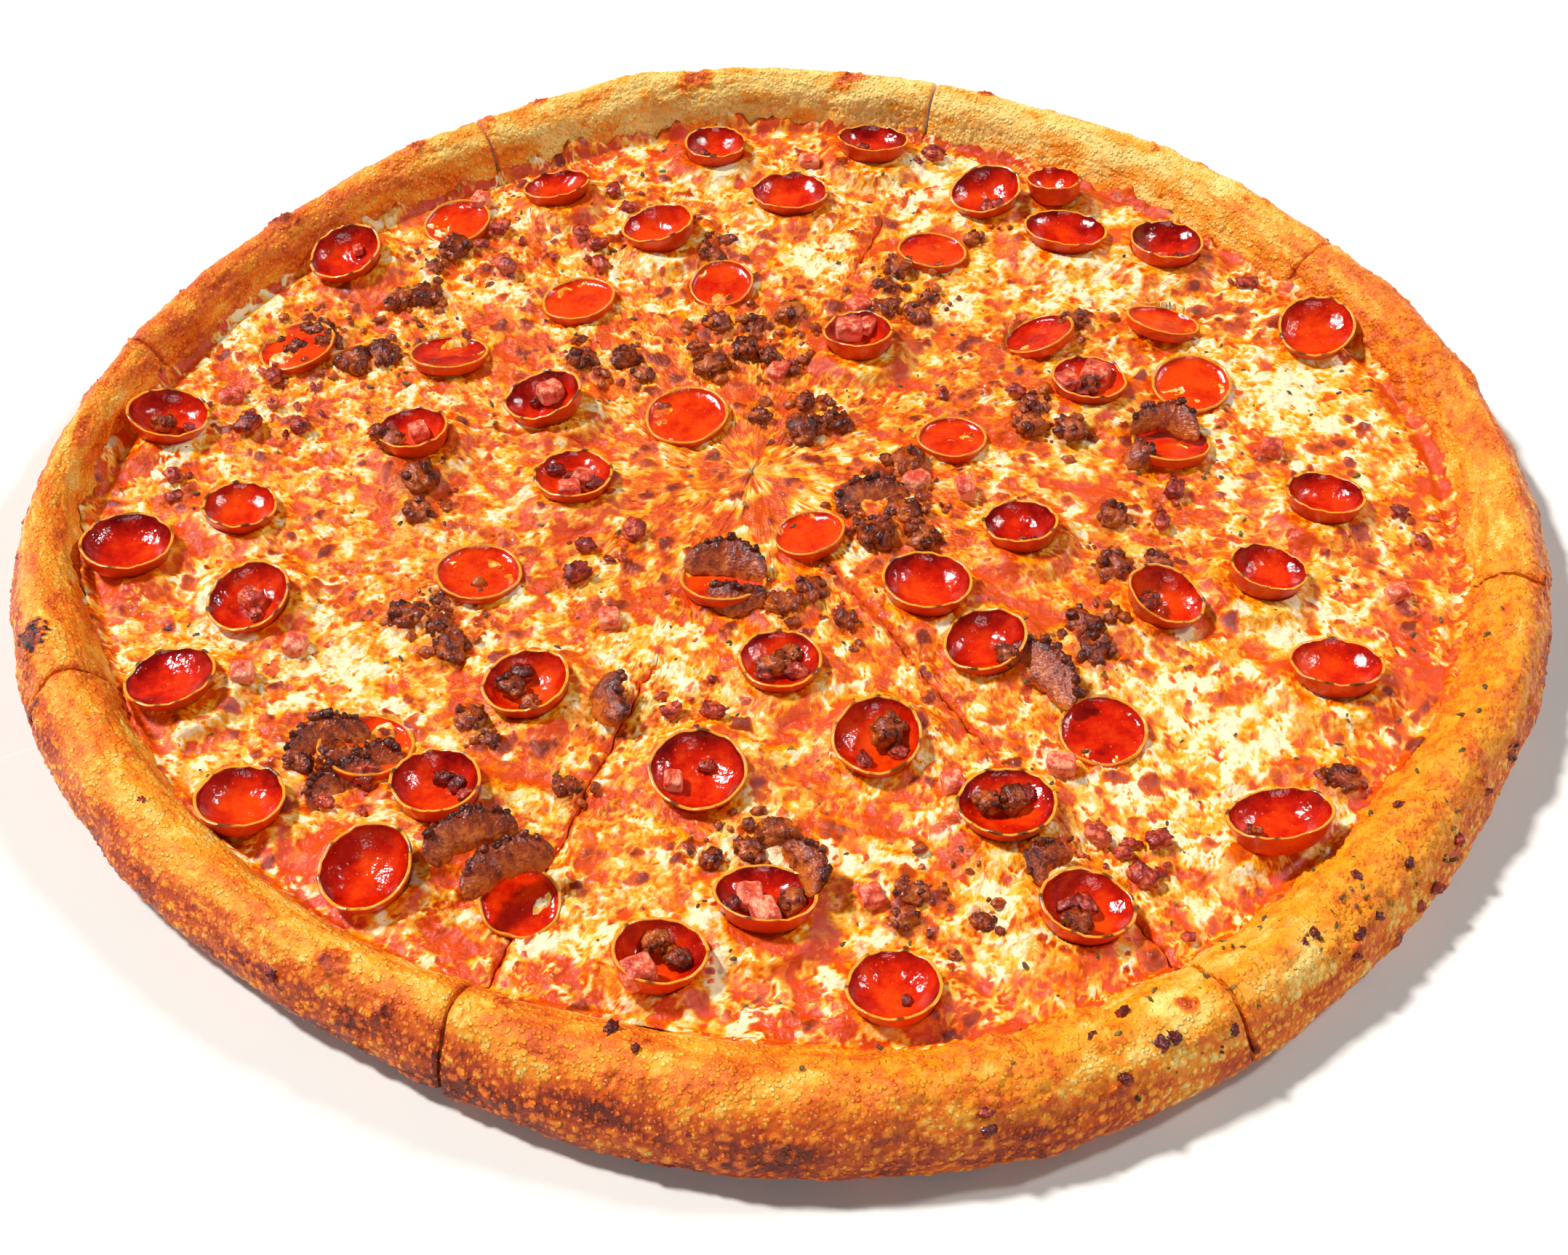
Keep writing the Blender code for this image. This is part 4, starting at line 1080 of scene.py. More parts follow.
def add_lumps(batch, places, sizes, turns, seed, rows, sides, craggy, squareness=2.0, browned=0.0):
    """Craggy lumps: points of a ball, made squarer by a higher norm, moved out by 3-D noise.

    A point is its direction over its norm of that power, times 1 + craggy * noise, then scaled to
    the lump's size, turned about z and put in place.
    """
    places, sizes, turns = (np.asarray(part, float) for part in (places, sizes, turns))
    count = len(places)
    if not count:
        return
    directions = ball(rows, sides)
    norm = (np.abs(directions) ** squareness).sum(1) ** (1 / squareness)
    form = directions / norm[:, None]
    rng = np.random.default_rng(seed)
    offset = rng.uniform(0, 90, (count, 1, 3))
    tone = rng.random(count)
    samples = (form * 1.35 + offset).reshape(-1, 3)
    coarse = fractal(samples, 2, seed + 1).reshape(count, -1)
    fine = fractal(samples * 2.9, 2, seed + 2).reshape(count, -1)
    shape = form * (0.5 * (1 + craggy * (coarse + 0.45 * fine)))[..., None] * sizes[:, None]
    points = places[:, None] + turned_each(shape, turns)
    quads, caps = tube_faces(rows, sides)
    each = len(directions) * np.arange(count)[:, None, None]
    quads, caps = (quads + each).reshape(-1, 4), (caps + each).reshape(-1, 3)
    values = {
        "tone": np.repeat(tone, len(directions)),
        "proud": (coarse + 0.6 * fine + 0.5 * directions[:, 2] + browned).ravel(),
    }
    batch.add(points.reshape(-1, 3), quads, caps, values)


def clear_of_cups(x, y, margin):
    """False within the margin of a cup or a large piece of sausage."""
    pieces = (*CUPS, *SAUSAGE_PIECES)
    return all(math.hypot(x - px, y - py) >= across / 2 + margin for px, py, across, *_ in pieces)


def between_cuts(x, y, margin):
    """True where a point is clear of every cut and of the rim."""
    if math.hypot(x, y) > round_rim(RIM_STATIONS, math.atan2(y, x))[1] - RIM_MARGIN:
        return False
    for angle in CUT_ANGLES_DEG:
        along_x, along_y = math.cos(math.radians(angle)), math.sin(math.radians(angle))
        ahead = along_x * (x - CUT_CENTRE[0]) + along_y * (y - CUT_CENTRE[1])
        beside = along_x * (y - CUT_CENTRE[1]) - along_y * (x - CUT_CENTRE[0])
        if ahead > 0 and abs(beside) < margin:
            return False
    return True


@functools.lru_cache(maxsize=None)
def small_toppings():
    """Where the solids have their small toppings: kind, x, y, size across and turn."""
    draw = random.Random(18)
    found = []
    for kind, table, smallest, largest in SCATTERS:
        for x, y, spread, count in table:
            placed = []
            for _ in range(TRIES * count):
                if len(placed) == count:
                    break
                reach, turn = spread * math.sqrt(draw.random()), draw.uniform(0, TAU)
                across = draw.uniform(smallest, largest)
                px, py = x + reach * math.cos(turn), y + reach * math.sin(turn)
                apart = all(math.hypot(px - qx, py - qy) > CRUMB_SPACING for qx, qy in placed)
                if apart and between_cuts(px, py, CUT_MARGIN) and clear_of_cups(px, py, CUP_MARGIN):
                    placed.append((px, py))
                    found.append((kind, px, py, across, turn))
    for x, y in HAM_DICE:
        turn = draw.uniform(0, TAU)
        if between_cuts(x, y, CUT_MARGIN) and clear_of_cups(x, y, 0):
            found.append(("ham", x, y, HAM_DIE, turn))
    return found


def of_kind(kind):
    """The places and sizes of one kind of small topping, as an array of x, y, across and turn."""
    return np.array([row[1:] for row in small_toppings() if row[0] == kind])


def kept_clear(points, things, margin, rim_margin):
    """The points that lie outside the things (x, y, size across) and inside the rim, by margins."""
    x, y = points.T
    keep = np.hypot(x, y) < round_rim(RIM_STATIONS, np.arctan2(y, x))[:, 1] - rim_margin
    for px, py, across, *_ in things:
        keep &= np.hypot(x - px, y - py) > across / 2 + margin
    return points[keep]


def scattered(table, per_area, seed):
    """Seeded points spread by area over the table's patches, clear of the cups."""
    rng = np.random.default_rng(seed)
    points = []
    for x, y, spread, count in table:
        number = int(per_area * count)
        reach = 1.15 * spread * np.sqrt(rng.random(number))
        points.append((x, y) + polar(reach, rng.uniform(0, TAU, number)))
    return kept_clear(np.concatenate(points), (*CUPS, *SAUSAGE_PIECES), 1.5, 4)


def on_cheese(points, lift):
    """Adds to points x, y the cheese's height there and a lift."""
    height = cheese_top(points[:, 0].copy(), points[:, 1].copy())[0]
    return np.concatenate((points, (height + lift)[:, None]), 1)


def add_clumps(batch, places, across, turns, seed, knobs, flatness=0.5):
    """Clumps of minced meat: a craggy body and knobs on the upper half of its surface."""
    rng = np.random.default_rng(seed)
    count = len(places)
    body = across[:, None] * (0.92, 0.72, flatness)
    add_lumps(batch, places, body, turns, seed + 1, LUMP_ROWS, LUMP_AROUND, 0.40)
    rise = rng.uniform(-0.15, 0.85, (count, knobs))
    way = rng.uniform(0, TAU, (count, knobs))
    level = np.sqrt(1 - rise**2)
    local = np.stack((level * np.cos(way), level * np.sin(way), rise), -1) * 0.46 * body[:, None]
    knob = (places[:, None] + turned_each(local, turns)).reshape(-1, 3)
    wide = np.repeat(across, knobs) * rng.uniform(0.16, 0.36, len(knob))
    sizes = wide[:, None] * rng.uniform(0.75, 1.2, (len(knob), 3))
    turn = rng.uniform(0, TAU, len(knob))
    add_lumps(batch, knob, sizes, turn, seed + 3, CRUMB_ROWS, CRUMB_AROUND, 0.45, 2, 0.35)


def add_crumbs(batch, points, seed, widths, lift, vary, form, craggy, squareness):
    """Small crumbs on the cheese at points x, y.

    A crumb's width is the first of the widths, plus the second times a random share to the third's
    power. Its lift is a share of that width, and its three sizes vary on their own round the form.
    """
    rng = np.random.default_rng(seed)
    count = len(points)
    across = widths[0] + widths[1] * rng.random(count) ** widths[2]
    sizes = across[:, None] * rng.uniform(*vary, (count, 3)) * form
    turns = rng.uniform(0, TAU, count)
    places = on_cheese(points, lift * across)
    add_lumps(batch, places, sizes, turns, seed + 1, CRUMB_ROWS, CRUMB_AROUND, craggy, squareness)


def add_strip(batch, strip, level, seed):
    """A curled strip of sausage: an oval carried along an arc, thinner at its ends.

    The back edge stands higher, and noise in three sizes roughens it all. Knobs stand along the
    back edge, which is the most browned.
    """
    x0, y0, x1, y1, bow, width, height = strip[:7]
    u = np.linspace(0.015, 0.985, STRIP_ROWS)[:, None]
    along = np.array((x1 - x0, y1 - y0), float)
    length = np.hypot(*along)
    side = np.array((-along[1], along[0])) / length
    side = side if side[1] > 0 else -side
    arc = np.array((x0, y0)) + u * along + bow * np.sin(math.pi * u) * side
    taper = (1 - np.abs(2 * u - 1) ** 3.5) ** 0.5
    turn, tall = (value + 0 * u for value in circle(STRIP_AROUND).T)
    solid = (u * length + 0 * turn, 0.5 * width * turn + 9 * seed, 0.5 * height * tall)
    solid = np.stack(solid, -1).reshape(-1, 3)
    rough = fractal(solid / 5.5, 3, 590, 0.6).reshape(turn.shape)
    fine = fractal(solid / 1.7, 2, 593).reshape(turn.shape)
    out = taper * (0.50 + 0.12 * rough + 0.05 * fine)
    line = u * (length, 0)
    ripple = 1 + 0.25 * fractal(line / 15 + (0, 3.7 * seed), 2, 595)[:, None]
    beside = out * width * turn * ripple
    up = level + 0.65 * out * height * tall + 0.60 * beside
    up += 0.4 * noise(line / 9 + (0, 5.1 * seed), 598)[:, None]
    grid = np.concatenate((arc[:, None] + beside[..., None] * side, up[..., None]), 2)
    overhang = 0.012 * along
    ends = ((*(arc[0] - overhang), level),), ((*(arc[-1] + overhang), level),)
    proud = (0.4 * rough + 0.7 * fine + 0.60 * turn + 0.45).ravel()
    proud = np.concatenate(((0.3,), proud, (0.3,)))
    quads, caps = tube_faces(STRIP_ROWS, STRIP_AROUND)
    whole = np.concatenate((ends[0], grid.reshape(-1, 3), ends[1]))
    values = {"tone": np.full(len(whole), 0.5), "proud": proud}
    batch.add(whole, quads[:, ::-1], caps[:, ::-1], values)
    rng = np.random.default_rng(600 + seed)
    count = int(0.7 * length)
    row = (rng.uniform(0.06, 0.94, count) * STRIP_ROWS).astype(int)
    column = rng.choice((0, 1, 2, 3, -1, -2), count)
    sizes = size("sausage_knob") * rng.uniform(0.6, 1.3, (count, 1))
    sizes = sizes * rng.uniform(0.75, 1.1, (count, 3))
    turns = rng.uniform(0, TAU, count)
    knobs = grid[row, column]
    add_lumps(batch, knobs, sizes, turns, 620 + seed, KNOB_ROWS, KNOB_AROUND, 0.45, 2, 0.8)


def fillings(kind):
    """Places and sizes of one kind of topping in the cups, on the bowl's surface."""
    found = []
    for number, x, y, across in CUP_FILLINGS[kind]:
        place, axes, radius, depth = cup_frames()[number - 1]
        local = np.linalg.solve(axes[:2, :2], (x, y))
        high = bowl(radius, depth, math.hypot(*local)) + 0.22 * across
        found.append((*(axes @ (*local, high) + place), across))
    return np.array(found)


def make_sausage(material):
    """The crumbled sausage: the solids' crumbs, and smaller ones among them."""
    batch = Batch()
    large = of_kind("sausage")
    add_clumps(batch, on_cheese(large[:, :2], -0.3), large[:, 2], large[:, 3], 500, 9)
    small = scattered(SAUSAGE_PATCHES, 7, 510)
    add_crumbs(batch, small, 511, (1.4, 3.8, 1.6), 0.10, (0.7, 1.1), (1, 0.8, 0.7), 0.4, 2)
    return batch.finish("sausage_crumbs", material)


def make_sausage_strips(material):
    """The curled strips on the cheese and over the cups, and the sausage that lies in the cups."""
    batch = Batch()
    for number, strip in enumerate(SAUSAGE_STRIPS):
        add_strip(batch, strip, CHEESE_TOP + 1.0 + strip[7], number)
    inside = fillings("sausage")
    turns = np.arange(len(inside)) * 1.9
    add_clumps(batch, inside[:, :3], inside[:, 3], turns, 640, 9, 0.6)
    return batch.finish("sausage_strips", material)


def make_bacon(material):
    """The bacon bits: uneven chips, larger where the solids have them, and a scatter of crumbs."""
    batch = Batch()
    large = of_kind("bacon")
    across = large[:, 2]
    places = on_cheese(large[:, :2], 0.16 * across)
    sizes = np.stack((across, across * 0.72, across * 0.5), 1)
    add_lumps(batch, places, sizes, large[:, 3], 520, LUMP_ROWS, LUMP_AROUND, 0.34, 3.2)
    small = scattered(BACON_PATCHES, 3, 530)
    add_crumbs(batch, small, 531, (1.2, 2.4, 1.4), 0.25, (0.6, 1.2), (1.2, 0.8, 0.55), 0.35, 3)
    inside = fillings("bacon")
    sizes = inside[:, 3:] * (1.1, 0.8, 0.6)
    add_lumps(batch, inside[:, :3], sizes, inside[:, 0], 534, LUMP_ROWS, LUMP_AROUND, 0.40, 3, 0.4)
    degrees, place, across = np.array(CRUST_CHIPS).T
    chips = on_rim(np.radians(degrees), place)
    sizes = across[:, None] * (0.85, 0.6, 0.5)
    add_lumps(batch, chips, sizes, chips[:, 0], 537, LUMP_ROWS, LUMP_AROUND, 0.45, 3, 0.6)
    return batch.finish("bacon_bits", material)


def make_ham(material):
    """The ham dice: rounded cubes, sunk to a third in the cheese."""
    batch = Batch()
    dice = of_kind("ham")
    places = on_cheese(dice[:, :2], 0.6)
    rng = np.random.default_rng(541)
    sizes = size("ham_die") * rng.uniform(0.85, 1.1, (len(dice), 3)) * (1, 0.85, 0.72)
    add_lumps(batch, places, sizes, dice[:, 3], 540, DIE_ROWS, DIE_AROUND, 0.10, 6)
    inside = fillings("ham")
    sizes = inside[:, 3:] * (1.0, 0.85, 0.75)
    add_lumps(batch, inside[:, :3], sizes, inside[:, 1], 544, DIE_ROWS, DIE_AROUND, 0.10, 6)
    return batch.finish("ham_dice", material)


def make_herbs(material):
    """Dried herb flecks: thin uneven leaves all over the cheese, and some on one side's crust."""
    rng = np.random.default_rng(550)
    reach = CHEESE_RADIUS * np.sqrt(rng.random(CHEESE_HERBS))
    points = polar(reach, rng.uniform(0, TAU, CHEESE_HERBS))
    places = on_cheese(kept_clear(points, CUPS, 1, 5), 0.05)
    angle = np.radians(rng.normal(CRUST_HERBS_WAY, CRUST_HERBS_SPREAD, CRUST_HERBS))
    on_crust = on_rim(angle, rng.uniform(2.6, 7.0, CRUST_HERBS)) + (0, 0, 0.5)
    places = np.concatenate((places, on_crust))
    count = len(places)
    across = size("herb_leaf") * (1 + 1.6 * rng.random(count) ** 1.5)
    sizes = across[:, None] * rng.uniform(0.7, 1.2, (count, 3)) * (1.2, 0.6, 0.35)
    batch = Batch()
    add_lumps(batch, places, sizes, rng.uniform(0, TAU, count), 551, HERB_ROWS, HERB_AROUND, 0.35)
    return batch.finish("herb_flecks", material)


def make_large_sausage(number, material):
    """One of the three large pieces: its strips, at the height of its solid."""
    low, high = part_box(f"sausage_{number + 1}")
    batch = Batch()
    for place, strip in enumerate(PIECE_STRIPS[number]):
        add_strip(batch, strip, (low[2] + high[2]) / 2 / MM + strip[7], 20 + 3 * number + place)
    return batch.finish(f"sausage_piece_{number + 1}", material)


# Finishes


def linear(red, green, blue):
    """A colour as a shader takes it, from the 0 to 255 values that a screen shows."""
    shares = (red / 255, green / 255, blue / 255)
    return tuple(s / 12.92 if s <= 0.04045 else ((s + 0.055) / 1.055) ** 2.4 for s in shares)


class Finish:
    """One Principled material. Each method adds a node and gives the socket that it puts out."""

    def __init__(self, name):
        self.material = bpy.data.materials.new(name)
        self.material.use_nodes = True
        self.tree = self.material.node_tree
        self.shader = self.tree.nodes["Principled BSDF"]
        self.place = self.add("ShaderNodeTexCoord", {}, "Object")

    def feed(self, socket, value):
        """Links a socket, or sets its own value."""
        if isinstance(value, bpy.types.NodeSocket):
            self.tree.links.new(value, socket)
        elif socket.type == "RGBA":
            socket.default_value = (*tuple(value)[:3], 1.0)
        else:
            socket.default_value = value

    def add(self, kind, inputs, output, **settings):
        """A node of that kind with its settings and inputs."""
        node = self.tree.nodes.new(kind)
        for key, value in settings.items():
            setattr(node, key, value)
        for key, value in inputs.items():
            self.feed(node.inputs[key], value)
        return node.outputs[output]

    def value(self, name):
        """A number that the mesh carries at its points."""
        return self.add("ShaderNodeAttribute", {}, "Fac", attribute_name=name)

    def noise(self, scale, detail, roughness=0.55):
        """Noise on Object coordinates, with so many cells to the metre."""
        inputs = {"Vector": self.place, "Scale": scale, "Detail": detail, "Roughness": roughness}
        return self.add("ShaderNodeTexNoise", inputs, "Fac")

    def cells(self, scale):
        """The distance to the nearest of scattered points, so many to the metre each way."""
        inputs = {"Vector": self.place, "Scale": scale}
        return self.add("ShaderNodeTexVoronoi", inputs, "Distance")

    def sum(self, *terms):
        """The sum of (socket, factor) pairs and plain numbers."""
        total = None
        for term in terms:
            if isinstance(term, tuple):
                term = self.add("ShaderNodeMath", {0: term[0], 1: term[1]}, 0, operation="MULTIPLY")
            total = term if total is None else self.add("ShaderNodeMath", {0: total, 1: term}, 0)
        return total

    def times(self, first, second):
        """The product of two numbers."""
        return self.add("ShaderNodeMath", {0: first, 1: second}, 0, operation="MULTIPLY")

    def step(self, value, low, high, start=0.0, end=1.0):
        """A smooth change from start to end while the value goes from low to high."""
        inputs = {"Value": value, "From Min": low, "From Max": high, "To Min": start, "To Max": end}
        return self.add("ShaderNodeMapRange", inputs, "Result", interpolation_type="SMOOTHSTEP")

    def mix(self, factor, first, second):
        """One colour mixed with another."""
        return self.add("ShaderNodeMix", {0: factor, 6: first, 7: second}, 2, data_type="RGBA")

    def ramp(self, factor, *stops):
        """A colour ramp through (place, colour) stops."""
        node = self.tree.nodes.new("ShaderNodeValToRGB")
        elements = node.color_ramp.elements
        while len(elements) < len(stops):
            elements.new(0.5)
        for element, (place, colour) in zip(elements, stops):
            element.position = place
            element.color = (*tuple(colour)[:3], 1.0)
        self.feed(node.inputs["Fac"], factor)
        return node.outputs["Color"]

    def bump(self, height, depth, strength):
        """A bump of that depth in metres."""
        inputs = {"Height": height, "Distance": depth, "Strength": strength}
        return self.add("ShaderNodeBump", inputs, "Normal")

    def finish(self, colour, roughness, normal, under_skin=(0, (1, 1, 1), 0), specular=0.5):
        """Feeds the shader.

        What goes under the skin is the share of the light, its reach by colour, and their scale.
        """
        inputs = {"Base Color": colour, "Roughness": roughness, "Normal": normal}
        inputs["Specular IOR Level"] = specular
        for key, value in zip(("Weight", "Radius", "Scale"), under_skin):
            inputs[f"Subsurface {key}"] = value
        for key, value in inputs.items():
            self.feed(self.shader.inputs[key], value)
        return self.material


def crust_finish(tints):
    """Baked dough: pale to dark brown by its bake and painted shade, cheese run over it, char and
    open crumb.
    """
    f = Finish("baked crust")
    soft, fine = f.noise(200, 4, 0.6), f.noise(900, 4, 0.6)
    beads = f.step(f.cells(620), 0.47, 0.22)
    bake_and_shade = f.sum((f.value("bake_and_shade"), 1.15), (soft, 0.34), (fine, 0.44), (beads, -0.16), -0.34)
    skin = f.ramp(
        bake_and_shade,
        (0.05, tints.crust_pale),
        (0.30, tints.crust_golden),
        (0.55, tints.crust_amber),
        (0.80, tints.crust_brown),
        (1.0, tints.crust_dark),
    )
    glaze = f.ramp(
        f.sum((soft, 0.9), (fine, 0.5), (f.value("bake_and_shade"), 0.35), -0.36),
        (0.26, tints.crust_golden),
        (0.42, tints.cheese_gold),
        (0.60, tints.cheese_orange),
        (0.78, tints.cheese_toast),
    )
    colour = f.mix(f.times(f.value("cheesy"), 0.95), skin, glaze)
    burnt = f.step(f.sum(f.value("char"), (fine, 0.35)), 0.45, 0.85)
    colour = f.mix(burnt, colour, tints.char)
    colour = f.mix(f.step(f.value("crumb"), 0.06, 0.3), colour, tints.crumb)
    roughness = f.step(f.sum((soft, 0.6), (f.value("cheesy"), -0.3)), 0.1, 0.55, 0.16, 0.32)
    bump = f.bump(f.sum((beads, 0.6), (fine, 0.8), (f.noise(2600, 2), 0.14)), 0.0009, 0.85)
    return f.finish(colour, roughness, bump, (0.15, (1.0, 0.5, 0.2), 0.001), 0.36)


def cheese_finish(tints):
    """Melted cheese: white to cream, yellow where oily, toasted on its blisters, and red sauce."""
    f = Finish("melted cheese")
    soft, fine, grain = f.noise(180, 4), f.noise(520, 4, 0.62), f.noise(1500, 3)
    sauce = f.value("sauce")
    melt = f.sum((f.value("melt"), 1.0), (fine, 0.28), (grain, 0.08), (sauce, -0.55), -0.17)
    colour = f.ramp(
        melt,
        (0.02, tints.cheese_deep),
        (0.18, tints.cheese_orange),
        (0.36, tints.cheese_gold),
        (0.53, tints.cheese_cream),
        (0.72, tints.cheese_white),
    )
    red = f.step(f.sum(sauce, (fine, 0.4), (grain, 0.1)), 0.65, 1.35)
    colour = f.mix(red, colour, f.mix(f.step(soft, 0.35, 0.65), tints.sauce, tints.cheese_deep))
    meat = f.step(f.sum(f.value("meat"), (fine, 0.5), (grain, 0.3)), 0.55, 1.1)
    colour = f.mix(f.times(meat, 0.7), colour, tints.sausage_light)
    toast = f.sum(f.value("toast"), (fine, 0.30), (grain, 0.08), -0.19)
    browned = f.ramp(
        toast,
        (0.12, tints.cheese_gold),
        (0.30, tints.cheese_orange),
        (0.52, tints.cheese_toast),
        (0.82, tints.cheese_brown),
    )
    colour = f.mix(f.step(toast, 0.12, 0.36), colour, browned)
    roughness = f.step(f.sum(soft, (fine, 0.5)), 0.45, 1.0, 0.05, 0.14)
    bump = f.bump(f.sum((fine, 1.0), (f.noise(260, 2), 0.8), (grain, 0.12)), 0.0008, 0.9)
    return f.finish(colour, roughness, bump, (0.2, (1.0, 0.5, 0.2), 0.0012), 0.40)


def pepperoni_finish(tints):
    """Cured sausage: deep red with paler flecks of fat, oil in the cup, and a thin burnt lip."""
    f = Finish("pepperoni")
    soft, fine, grain = f.noise(120, 3), f.noise(520, 3), f.noise(1500, 2)
    own, height = f.value("tone"), f.value("height")
    meat = f.ramp(
        f.sum((own, 0.30), (height, -0.42), (soft, 1.1), (fine, 0.35), -0.14),
        (0.22, tints.pepperoni_deep),
        (0.52, tints.pepperoni_red),
        (0.85, tints.pepperoni_bright),
    )
    fat = f.step(f.sum((f.cells(430), 1.0), (fine, 0.3)), 0.28, 0.22)
    meat = f.mix(f.times(fat, 0.35), meat, tints.pepperoni_fat)
    wall = f.mix(f.step(soft, 0.35, 0.65), tints.pepperoni_wall, tints.pepperoni_bright)
    colour = f.mix(f.value("inside"), wall, meat)
    colour = f.mix(f.times(f.value("pool"), 0.3), colour, tints.pepperoni_oil)
    lip = f.step(f.sum(f.value("lip"), (fine, 0.35)), 0.55, 0.80)
    colour = f.mix(lip, colour, tints.pepperoni_lip)
    scorched = f.step(f.sum(f.value("burnt"), (fine, 0.5)), 0.85, 1.35)
    colour = f.mix(f.times(scorched, 0.85), colour, tints.sausage_dark)
    roughness = f.step(f.sum(soft, (f.value("pool"), -0.4)), 0.2, 0.9, 0.05, 0.18)
    rough_skin = f.sum((fine, 1.0), (grain, 0.15))
    bump = f.bump(f.times(rough_skin, f.sum(1.0, (f.value("pool"), -0.5))), 0.0004, 0.8)
    return f.finish(colour, roughness, bump, (0.15, (1.0, 0.2, 0.1), 0.0015), 0.5)


def meat_finish(name, dark, middle, light, gloss):
    """Cooked meat: dark on the ridges that stand proud, lighter in the hollows."""
    f = Finish(name)
    soft, fine = f.noise(220, 4), f.noise(900, 3)
    tone = f.sum((f.value("tone"), 0.34), (f.value("proud"), 0.40), (soft, 0.8), (fine, 0.7), -0.64)
    colour = f.ramp(tone, (0.15, light), (0.42, middle), (0.80, dark))
    roughness = f.step(fine, 0.3, 0.7, gloss, gloss + 0.16)
    bump = f.bump(f.sum((fine, 1.0), (f.noise(2200, 2), 0.15)), 0.0006, 0.9)
    return f.finish(colour, roughness, bump, (0.1, (1.0, 0.4, 0.2), 0.001), 0.4)


# Properties


def tint(name, description, red, green, blue):
    """A colour that a user may change."""
    return bpy.props.FloatVectorProperty(
        name=name,
        description=description,
        default=linear(red, green, blue),
        size=3,
        min=0.0,
        max=1.0,
        subtype="COLOR",
    )


class PizzaTints(bpy.types.PropertyGroup):
    """The colours of the pizza's finishes."""

    crust_pale: tint("Pale crust", "The least baked dough", 255, 216, 122)
    crust_golden: tint("Golden crust", "Lightly baked dough", 255, 168, 36)
    crust_amber: tint("Amber crust", "Well baked dough", 240, 112, 10)
    crust_brown: tint("Brown crust", "Browned dough", 190, 66, 6)
    crust_dark: tint("Dark crust", "The darkest dough", 116, 34, 4)
    crumb: tint("Crumb", "The inside of the dough at a cut", 246, 222, 170)
    char: tint("Char", "Burnt edges and specks", 40, 20, 12)
    cheese_white: tint("White cheese", "Cheese that has only melted", 248, 226, 184)
    cheese_cream: tint("Cream cheese", "Cheese that has begun to colour", 248, 188, 72)
    cheese_gold: tint("Golden cheese", "Oily yellow cheese", 248, 154, 4)
    cheese_orange: tint("Orange cheese", "Cheese with the toppings' oil", 232, 104, 2)
    cheese_deep: tint("Deep orange cheese", "The oiliest cheese", 216, 74, 2)
    cheese_toast: tint("Toasted cheese", "The tops of the blisters", 204, 76, 4)
    cheese_brown: tint("Brown cheese", "The most toasted blisters", 140, 44, 4)
    sauce: tint("Sauce", "Tomato sauce at the cheese's edge", 214, 64, 4)
    pepperoni_deep: tint("Deep pepperoni", "The darkest of the meat", 130, 2, 1)
    pepperoni_red: tint("Red pepperoni", "Most of the meat", 198, 26, 1)
    pepperoni_bright: tint("Bright pepperoni", "Meat with oil in it", 230, 66, 4)
    pepperoni_wall: tint("Pepperoni wall", "The outside of a cup", 204, 58, 14)
    pepperoni_fat: tint("Pepperoni fat", "Small flecks of fat", 244, 132, 70)
    pepperoni_oil: tint("Pepperoni oil", "Oil in a cup", 220, 50, 6)
    pepperoni_lip: tint("Pepperoni lip", "A cup's thin dry edge", 232, 156, 46)
    sausage_dark: tint("Dark sausage", "Browned ridges of the sausage", 66, 14, 4)
    sausage_middle: tint("Sausage", "Most of the sausage", 152, 56, 10)
    sausage_light: tint("Light sausage", "The sausage's hollows", 194, 98, 26)
    bacon_dark: tint("Dark bacon", "Crisp edges of the bacon", 84, 16, 10)
    bacon_middle: tint("Bacon", "Most of the bacon", 160, 40, 22)
    bacon_light: tint("Light bacon", "Fat in the bacon", 220, 108, 70)
    ham_dark: tint("Dark ham", "Browned corners of the ham", 160, 44, 22)
    ham_middle: tint("Ham", "Most of the ham", 222, 84, 56)
    ham_light: tint("Light ham", "The palest ham", 246, 156, 118)
    herb_dark: tint("Dark herb", "Dried leaves", 86, 58, 16)
    herb_light: tint("Light herb", "Greener dried leaves", 134, 112, 40)
    floor: tint("Floor", "The pale floor", 226, 224, 220)


def length(name, description, metres):
    """A size that a user may change."""
    return bpy.props.FloatProperty(
        name=name, description=description, default=metres, min=0.0, unit="LENGTH", precision=5
    )


class PizzaSizes(bpy.types.PropertyGroup):
    """The sizes of the pizza's small forms."""

    bead_rise: length("Crust beads", "How far the smallest bubbles of the crust stand up", 0.0005)
    blister_rise: length("Crust blisters", "How far the crust's blisters stand up", 0.001)
    cheese_relief: length("Cheese relief", "Height of the cheese's lumps and strands", 0.001)
    lip_waver: length("Lip waver", "How far a cup's lip goes up and down", 0.0006)
    sausage_knob: length("Sausage knobs", "Size of the knobs along a strip of sausage", 0.0025)
    ham_die: length("Ham dice", "Length of a die of ham", 0.0075)
    herb_leaf: length("Herb leaves", "Length of the smallest flecks of herb", 0.001)


def strength(name, description, value):
    """A light's strength that a user may change."""
    return bpy.props.FloatProperty(name=name, description=description, default=value, min=0.0)


class PizzaLights(bpy.types.PropertyGroup):
    """The stage's light."""

    key: strength("Key light", "Strength of the main light, which the side light follows", 4.2)
    fill: strength("Fill light", "Strength of the light beside the camera", 0.6)
    sky: strength("Surroundings", "Strength of the pale surroundings overhead", 0.08)


def tints():
    """The scene's colours."""
    return bpy.context.scene.pizza_tints


# Operators


